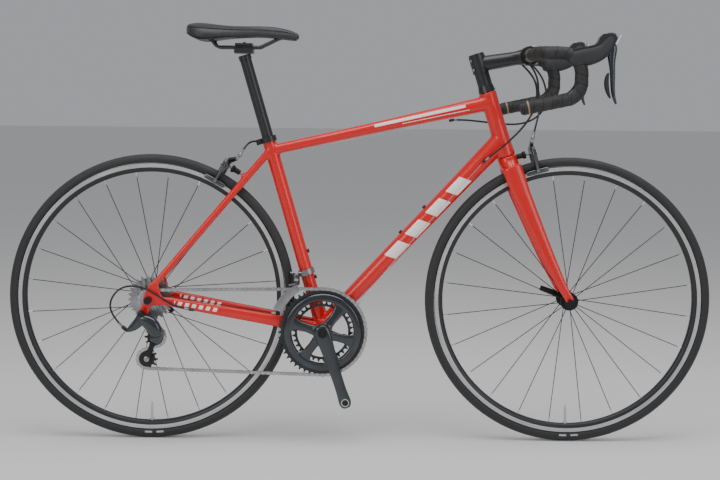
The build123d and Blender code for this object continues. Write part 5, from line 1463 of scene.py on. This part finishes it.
    def cage(self, guide: Vector, tension: Vector) -> None:
        """The cage's two plates, waisted between the pulleys, with three windows."""
        along = (tension - guide).normalized()
        across = along.cross(SIDE)
        for label, low, high in (("outer", -68.6, -66.9), ("inner", -55.3, -53.7)):
            outline = []
            for centre, start in ((guide, 1), (tension, -1)):
                for step in range(13):
                    turn = math.radians(-100 + 200 * step / 12)
                    place = (centre - along * (start * math.cos(turn) * 0.0100)
                             + across * (start * math.sin(turn) * 0.0100))
                    outline.append((place.x, place.z))
                waist = guide.lerp(tension, 0.5) + across * (start * 0.0052)
                outline.append((waist.x, waist.z))
            plate = Form(f"cage_{label}_plate").slab(outline, low * MM, high * MM, 0.0005)
            thing = self.keep(plate.finish(30), Stuff.SATIN, "black_metal", "derailleur_cage")
            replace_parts(thing, "rear_derailleur_cage")
        rods = Form("cage_bolts")
        for centre in (guide, tension):
            rods.rod(Vector((centre.x, -0.0668, centre.z)), Vector((centre.x, -0.0545, centre.z)), 0.0025, 20)
        self.keep(rods.finish(), Stuff.STEEL, "steel", "derailleur_cage")

    def front_derailleur(self) -> None:
        """The front cage's curved plates, its bridge and the swinging arm."""
        centre = middle(BRACKET)
        for label, y in (("outer", -57.5), ("inner", -44.3)):
            outline = []
            for step in range(17):
                turn = math.radians(118 + 37 * step / 16)
                outline.append((centre.x + math.cos(turn) * 0.1275, centre.z + math.sin(turn) * 0.1275))
            for step in range(17):
                turn = math.radians(154 - 34 * step / 16)
                reach = 0.1065 + 0.0065 * abs(step / 16 - 0.4)
                outline.append((centre.x + math.cos(turn) * reach, centre.z + math.sin(turn) * reach))
            plate = Form(f"front_cage_{label}").slab(outline, y * MM, (y + 1.5) * MM, 0.0006).finish(30)
            self.keep(plate, Stuff.STEEL, "steel", "front_derailleur")
            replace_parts(plate, "front_derailleur_cage")
        arm = [Section(mm(-149, -50, 373), 0.0030, 0.0085, SIDE, 2.6, Vector((0.0, 0.0, 1.0))),
               Section(mm(-149, -40, 374), 0.0046, 0.0088, SIDE, 2.6, Vector((0.0, 0.0, 1.0))),
               Section(mm(-149, -31, 379), 0.0070, 0.0084, Vector((0.0, 0.7, 0.7)), 2.6, Vector((0.0, -0.7, 0.7))),
               Section(mm(-149, -27, 389), 0.0064, 0.0078, Vector((0.0, 0.3, 1.0)), 2.6, Vector((0.0, -1.0, 0.3))),
               Section(mm(-149, -24.5, 398), 0.0056, 0.0084, Vector((0.0, 0.1, 1.0)), 2.6, Vector((0.0, -1.0, 0.1)))]
        self.keep(Form("front_cage_arm").rings(arm, 24).finish(60, 1), Stuff.CALIPER, "steel", "front_derailleur")
        strap = [(-0.1500, 0.3765), (-0.1500, 0.3735), (-0.1650, 0.3700), (-0.1650, 0.3730)]
        bridge = Form("front_cage_bridge").slab(strap, -0.0570, -0.0340, 0.0005)
        self.keep(bridge.finish(30), Stuff.STEEL, "steel", "front_derailleur")
        tail = Form("front_cage_tail").rod(mm(-197, -57, 320), mm(-197, -43.2, 320), 0.0022, 16)
        self.keep(tail.finish(30), Stuff.STEEL, "steel", "front_derailleur")


@dataclass
class Chain(Assembly):
    """The chain's links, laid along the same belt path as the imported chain."""

    pitch: float = 0.0127
    links: int = 110

    def wheels(self) -> list[tuple[Vector, float, int, float, int]]:
        """Each wheel's centre, pitch radius, sense of turn, chain line and teeth."""
        places = ((BRACKET, 50, 1, -48.0), ((-490.0, 336.0), 11, 1, -60.5), (GUIDE_PULLEY, 11, -1, -60.5),
                  (TENSION_PULLEY, 11, 1, -60.5))
        return [(Vector((x, z, 0)) * MM, self.pitch / 2 / math.sin(math.pi / teeth), sense, y * MM, teeth)
                for (x, z), teeth, sense, y in places]

    @staticmethod
    def tangent(first: tuple, last: tuple) -> tuple[float, float, float]:
        """The angles at which a run leaves one wheel and meets the next, and its length."""
        gap = last[0] - first[0]
        a, b = first[2] * first[1], last[2] * last[1]
        turn = math.acos((a - b) / gap.length)
        heading = math.atan2(gap.y, gap.x)
        normal = heading - turn
        leave = normal if first[2] > 0 else normal + math.pi
        meet = normal if last[2] > 0 else normal + math.pi
        return leave, meet, math.sqrt(gap.length_squared - (a - b) ** 2)

    def pins(self) -> list[Vector]:
        """The pin places, counted in links along the runs and in teeth round the wheels."""
        wheels = self.wheels()
        spans = [self.tangent(wheels[index], wheels[(index + 1) % 4]) for index in range(4)]
        made, passed = [], 0.0
        for index in range(4):
            first, last = wheels[index], wheels[(index + 1) % 4]
            leave, meet, length = spans[index]
            start = first[0] + Vector((math.cos(leave), math.sin(leave), 0)) * first[1]
            end = last[0] + Vector((math.cos(meet), math.sin(meet), 0)) * last[1]
            run = length / self.pitch
            while len(made) <= passed + run:
                along = len(made) - passed
                drift = min(max((along - 3) / (run - 6), 0), 1) if run > 9 else along / run
                place = start.lerp(end, along / run)
                made.append(Vector((place.x, first[3] + (last[3] - first[3]) * drift, place.y)))
            passed += run
            wrap = (last[2] * (spans[(index + 1) % 4][0] - meet)) % math.tau * last[4] / math.tau
            while len(made) <= passed + wrap:
                turn = meet + last[2] * (len(made) - passed) * math.tau / last[4]
                place = last[0] + Vector((math.cos(turn), math.sin(turn), 0)) * last[1]
                made.append(Vector((place.x, last[3], place.y)))
            passed += wrap
        return made[:self.links]

    def plate(self, mesh: bmesh.types.BMesh, start: Vector, end: Vector, y: float, outward: float) -> None:
        """One waisted side plate between two pins."""
        along = (end - start).normalized()
        up = along.cross(SIDE).normalized()
        outline = []
        for centre, sense in ((start, 1), (end, -1)):
            for step in range(7):
                turn = math.radians(-78 + 156 * step / 6)
                outline.append(centre - along * (sense * math.cos(turn) * 0.0041)
                               + up * (sense * math.sin(turn) * 0.0041))
            outline.append(start.lerp(end, 0.5) + up * (sense * 0.0030))
        low = [mesh.verts.new(place + SIDE * y) for place in outline]
        high = [mesh.verts.new(place + SIDE * (y + outward)) for place in outline]
        mesh.faces.new(low)
        mesh.faces.new(high)
        for index in range(len(low)):
            after = (index + 1) % len(low)
            mesh.faces.new((low[index], low[after], high[after], high[index]))

    def build(self) -> None:
        """Make the plates, rollers and riveted pin heads."""
        pins = self.pins()
        form = Form("chain_links")
        rivets = Form("chain_rivets")
        for index, (start, end) in enumerate(zip(pins, pins[1:] + pins[:1])):
            inner = 0.0021 if index % 2 else 0.0013
            for sense in (-1, 1):
                self.plate(form.mesh, start, end, sense * inner, sense * 0.0007)
            rivets.rod(start - SIDE * 0.0033, start + SIDE * 0.0033, 0.0017, 10)
            form.rod(start - SIDE * 0.0012, start + SIDE * 0.0012, 0.0038, 12)
        for piece, stuff in ((form, Stuff.CHAIN), (rivets, Stuff.SILVER)):
            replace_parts(self.keep(piece.finish(30), stuff, "steel", "frame"), "chain")


# ---------------------------------------------------------------- cables


@dataclass
class Cables(Assembly):
    """Housings and bare wires as smooth NURBS lines, in millimetres."""

    radius: float = 0.0022
    turning: tuple[tuple[str, tuple[tuple[float, float, float], ...]], ...] = (
        ("right_shift_housing", ((384, -58, 889), (400, -50, 872), (410, -46, 835), (404, -44, 790), (380, -42, 748),
                                 (340, -40, 706), (308, -33, 680), (290, -27.5, 665))),
        ("left_shift_housing", ((384, 58, 889), (406, 50, 870), (420, 46, 830), (412, 44, 782), (386, 42, 740),
                                (345, 40, 702), (310, 34, 679), (290, 27.5, 665))),
        ("rear_brake_housing", ((386, -66, 889), (412, -52, 868), (431, -22, 828), (434, 4, 792), (414, 30, 762),
                                (376, 36, 748), (330, 38, 749), (280, 36, 755), (240, 30, 758.5), (216, 26, 757.5))))
    front: tuple[tuple[float, float, float], ...] = (
        (386, 66, 889), (408, 54, 866), (422, 34, 826), (420, 6, 786), (408, -20, 750), (400, -31, 722))
    fixed: tuple[tuple[str, tuple[tuple[float, float, float], ...]], ...] = (
        ("rear_caliper_housing", ((-156, 21.5, 686.5), (-188, 25, 682), (-214, 29, 690), (-240, 24, 703),
                                  (-258, 2, 704), (-270, -17, 693), (-280, -24, 676))),
        ("rear_shift_loop", ((-397, -64.5, 314.6), (-430, -70, 322), (-462, -78, 346), (-505, -84, 371),
                             (-549, -88, 370), (-576, -88, 338), (-572, -84, 302), (-547, -82, 276))))
    wires: tuple[tuple[str, tuple[tuple[float, float, float], ...]], ...] = (
        ("right_shift_wire", ((280, -27, 655), (180, -27, 542), (60, -24, 405), (-20, -18, 300))),
        ("left_shift_wire", ((280, 27, 655), (180, 27, 542), (60, 24, 405), (-20, 18, 300))),
        ("rear_brake_wire", ((205, 25.5, 755), (50, 24, 719.5), (-142, 21.5, 690))))

    def build(self) -> None:
        """Make the cables."""
        for name, points in self.turning:
            line = Line(name, [mm(*place) for place in points], self.radius).solid()
            self.wardrobe.dress(line, Stuff.HOUSING)
            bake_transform(line)
            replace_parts(line, "cable_housings")
            self.ferrule(name, points[-1], points[-2], "frame")
        self.line("front_brake_housing", self.front, self.radius, Stuff.HOUSING, "steering", "housing")
        self.ferrule("front_brake_housing", self.front[-1], self.front[-2], "steering")
        for name, points in self.fixed:
            self.line(name, points, self.radius, Stuff.HOUSING, "frame", "housing")
            self.ferrule(name, points[0], points[1], "frame")
            self.ferrule(f"{name}_end", points[-1], points[-2], "frame")
        for name, points in self.wires:
            wire = self.line(name, points, 0.0006, Stuff.SILVER, "frame", "steel")
            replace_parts(wire, "cable_wires")

    def line(self, name: str, points: tuple, radius: float, stuff: Stuff, body: str, slot: str) -> bpy.types.Object:
        """One line fixed to a body."""
        return self.keep(Line(name, [mm(*place) for place in points], radius).curve(), stuff, slot, body)

    def ferrule(self, name: str, end: tuple, before: tuple, body: str) -> None:
        """The metal ferrule on a housing's end."""
        tip, back = mm(*end), (mm(*before) - mm(*end)).normalized()
        piece = Form(f"{name}_ferrule").rod(tip, tip + back * 0.011, 0.0028, 20).finish(40, 0, 0.0004)
        self.keep(piece, Stuff.STEEL, "steel", body)


# ---------------------------------------------------------------- stage


@dataclass
class Stage(Assembly):
    """The floor, lights and camera."""

    lens: float = 68.1
    aim: float = -3.0
    roll: float = 0.494

    def build(self) -> None:
        """Make a pale studio with a large soft light overhead and two sides."""
        floor = bpy.data.meshes.new("floor")
        floor.from_pydata([(-40, -20, 0), (40, -20, 0), (40, 60, 0), (-40, 60, 0)], [], [(0, 1, 2, 3)])
        ground = bpy.data.objects.new("floor", floor)
        bpy.context.scene.collection.objects.link(ground)
        self.wardrobe.dress(ground, Stuff.FLOOR)
        self.light("overhead", (0.2, -0.6, 2.9), (0.0, 0.0, 0.4), (3.0, 1.8), 60.0)
        self.light("front_left", (-2.2, -2.9, 1.7), (-0.1, 0.0, 0.5), (1.8, 1.8), 30.0)
        self.light("front_right", (2.4, -2.6, 1.4), (0.2, 0.0, 0.5), (1.6, 1.8), 20.0)
        world = bpy.data.worlds.new("studio")
        world.use_nodes = True
        world.node_tree.nodes["Background"].inputs["Color"].default_value = (0.93, 0.95, 1.0, 1.0)
        world.node_tree.nodes["Background"].inputs["Strength"].default_value = 0.40
        bpy.context.scene.world = world
        self.camera()

    @staticmethod
    def light(name: str, place: tuple, target: tuple, size: tuple[float, float], power: float) -> None:
        """One soft area light that faces a point."""
        lamp = bpy.data.lights.new(name, "AREA")
        lamp.shape, lamp.size, lamp.size_y, lamp.energy = "RECTANGLE", size[0], size[1], power
        holder = bpy.data.objects.new(name, lamp)
        holder.location = place
        holder.rotation_euler = (Vector(target) - Vector(place)).to_track_quat("-Z", "Y").to_euler()
        bpy.context.scene.collection.objects.link(holder)

    def camera(self) -> None:
        """The camera, square to the bicycle's right side."""
        data = bpy.data.cameras.new("camera")
        data.lens = self.lens
        data.sensor_width = 36.0
        data.shift_x, data.shift_y = 0.018, -0.079
        camera = bpy.data.objects.new("camera", data)
        camera.location = (-0.032, -3.2, 0.775)
        tilt = Matrix.Rotation(math.radians(90.0 + self.aim), 4, "X")
        camera.rotation_euler = (tilt @ Matrix.Rotation(math.radians(self.roll), 4, "Z")).to_euler()
        bpy.context.scene.collection.objects.link(camera)
        bpy.context.scene.camera = camera


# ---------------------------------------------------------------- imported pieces


NODE_STUFF = {
    Stuff.BLACK: ("seatpost", "saddle_clamp", "saddle_rails", "frame_fittings", "headset_cover", "stem",
                  "stem_faceplate", "handlebar", "lever_brackets"),
    Stuff.STEEL: ("bearings", "front_brake_bolt", "rear_brake_bolt", "front_derailleur_mount"),
    Stuff.SATIN: ("front_axle", "rear_axle", "front_hub", "rear_hub", "front_quick_release", "rear_quick_release"),
    Stuff.SPOKE: ("front_spokes", "rear_spokes"),
    Stuff.COGS: ("cassette",),
    Stuff.RING: ("chainrings",),
    Stuff.PLASTIC: ("guide_pulley", "tension_pulley"),
}


def dress_nodes(wardrobe: Wardrobe) -> None:
    """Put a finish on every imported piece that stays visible."""
    for stuff, names in NODE_STUFF.items():
        for name in names:
            thing = bpy.data.objects.get(name)
            if thing is not None:
                wardrobe.dress(thing, stuff)
            else:
                LOG.warning("no packed piece named %s", name)


def main() -> None:
    """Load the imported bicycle, dress it, detail it and light it."""
    logging.basicConfig(level=logging.INFO)
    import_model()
    wardrobe = Wardrobe()
    dress_nodes(wardrobe)
    FrameSet(wardrobe).build()
    Fork(wardrobe).build()
    for name in ("front", "rear"):
        Wheel(wardrobe, name, f"{name}_wheel").build()
    Saddle(wardrobe).build()
    Cockpit(wardrobe).build()
    Brakes(wardrobe).build()
    Drive(wardrobe).build()
    Chain(wardrobe).build()
    Cables(wardrobe).build()
    Stage(wardrobe).build()
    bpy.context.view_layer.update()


if __name__ == "__main__":
    main()
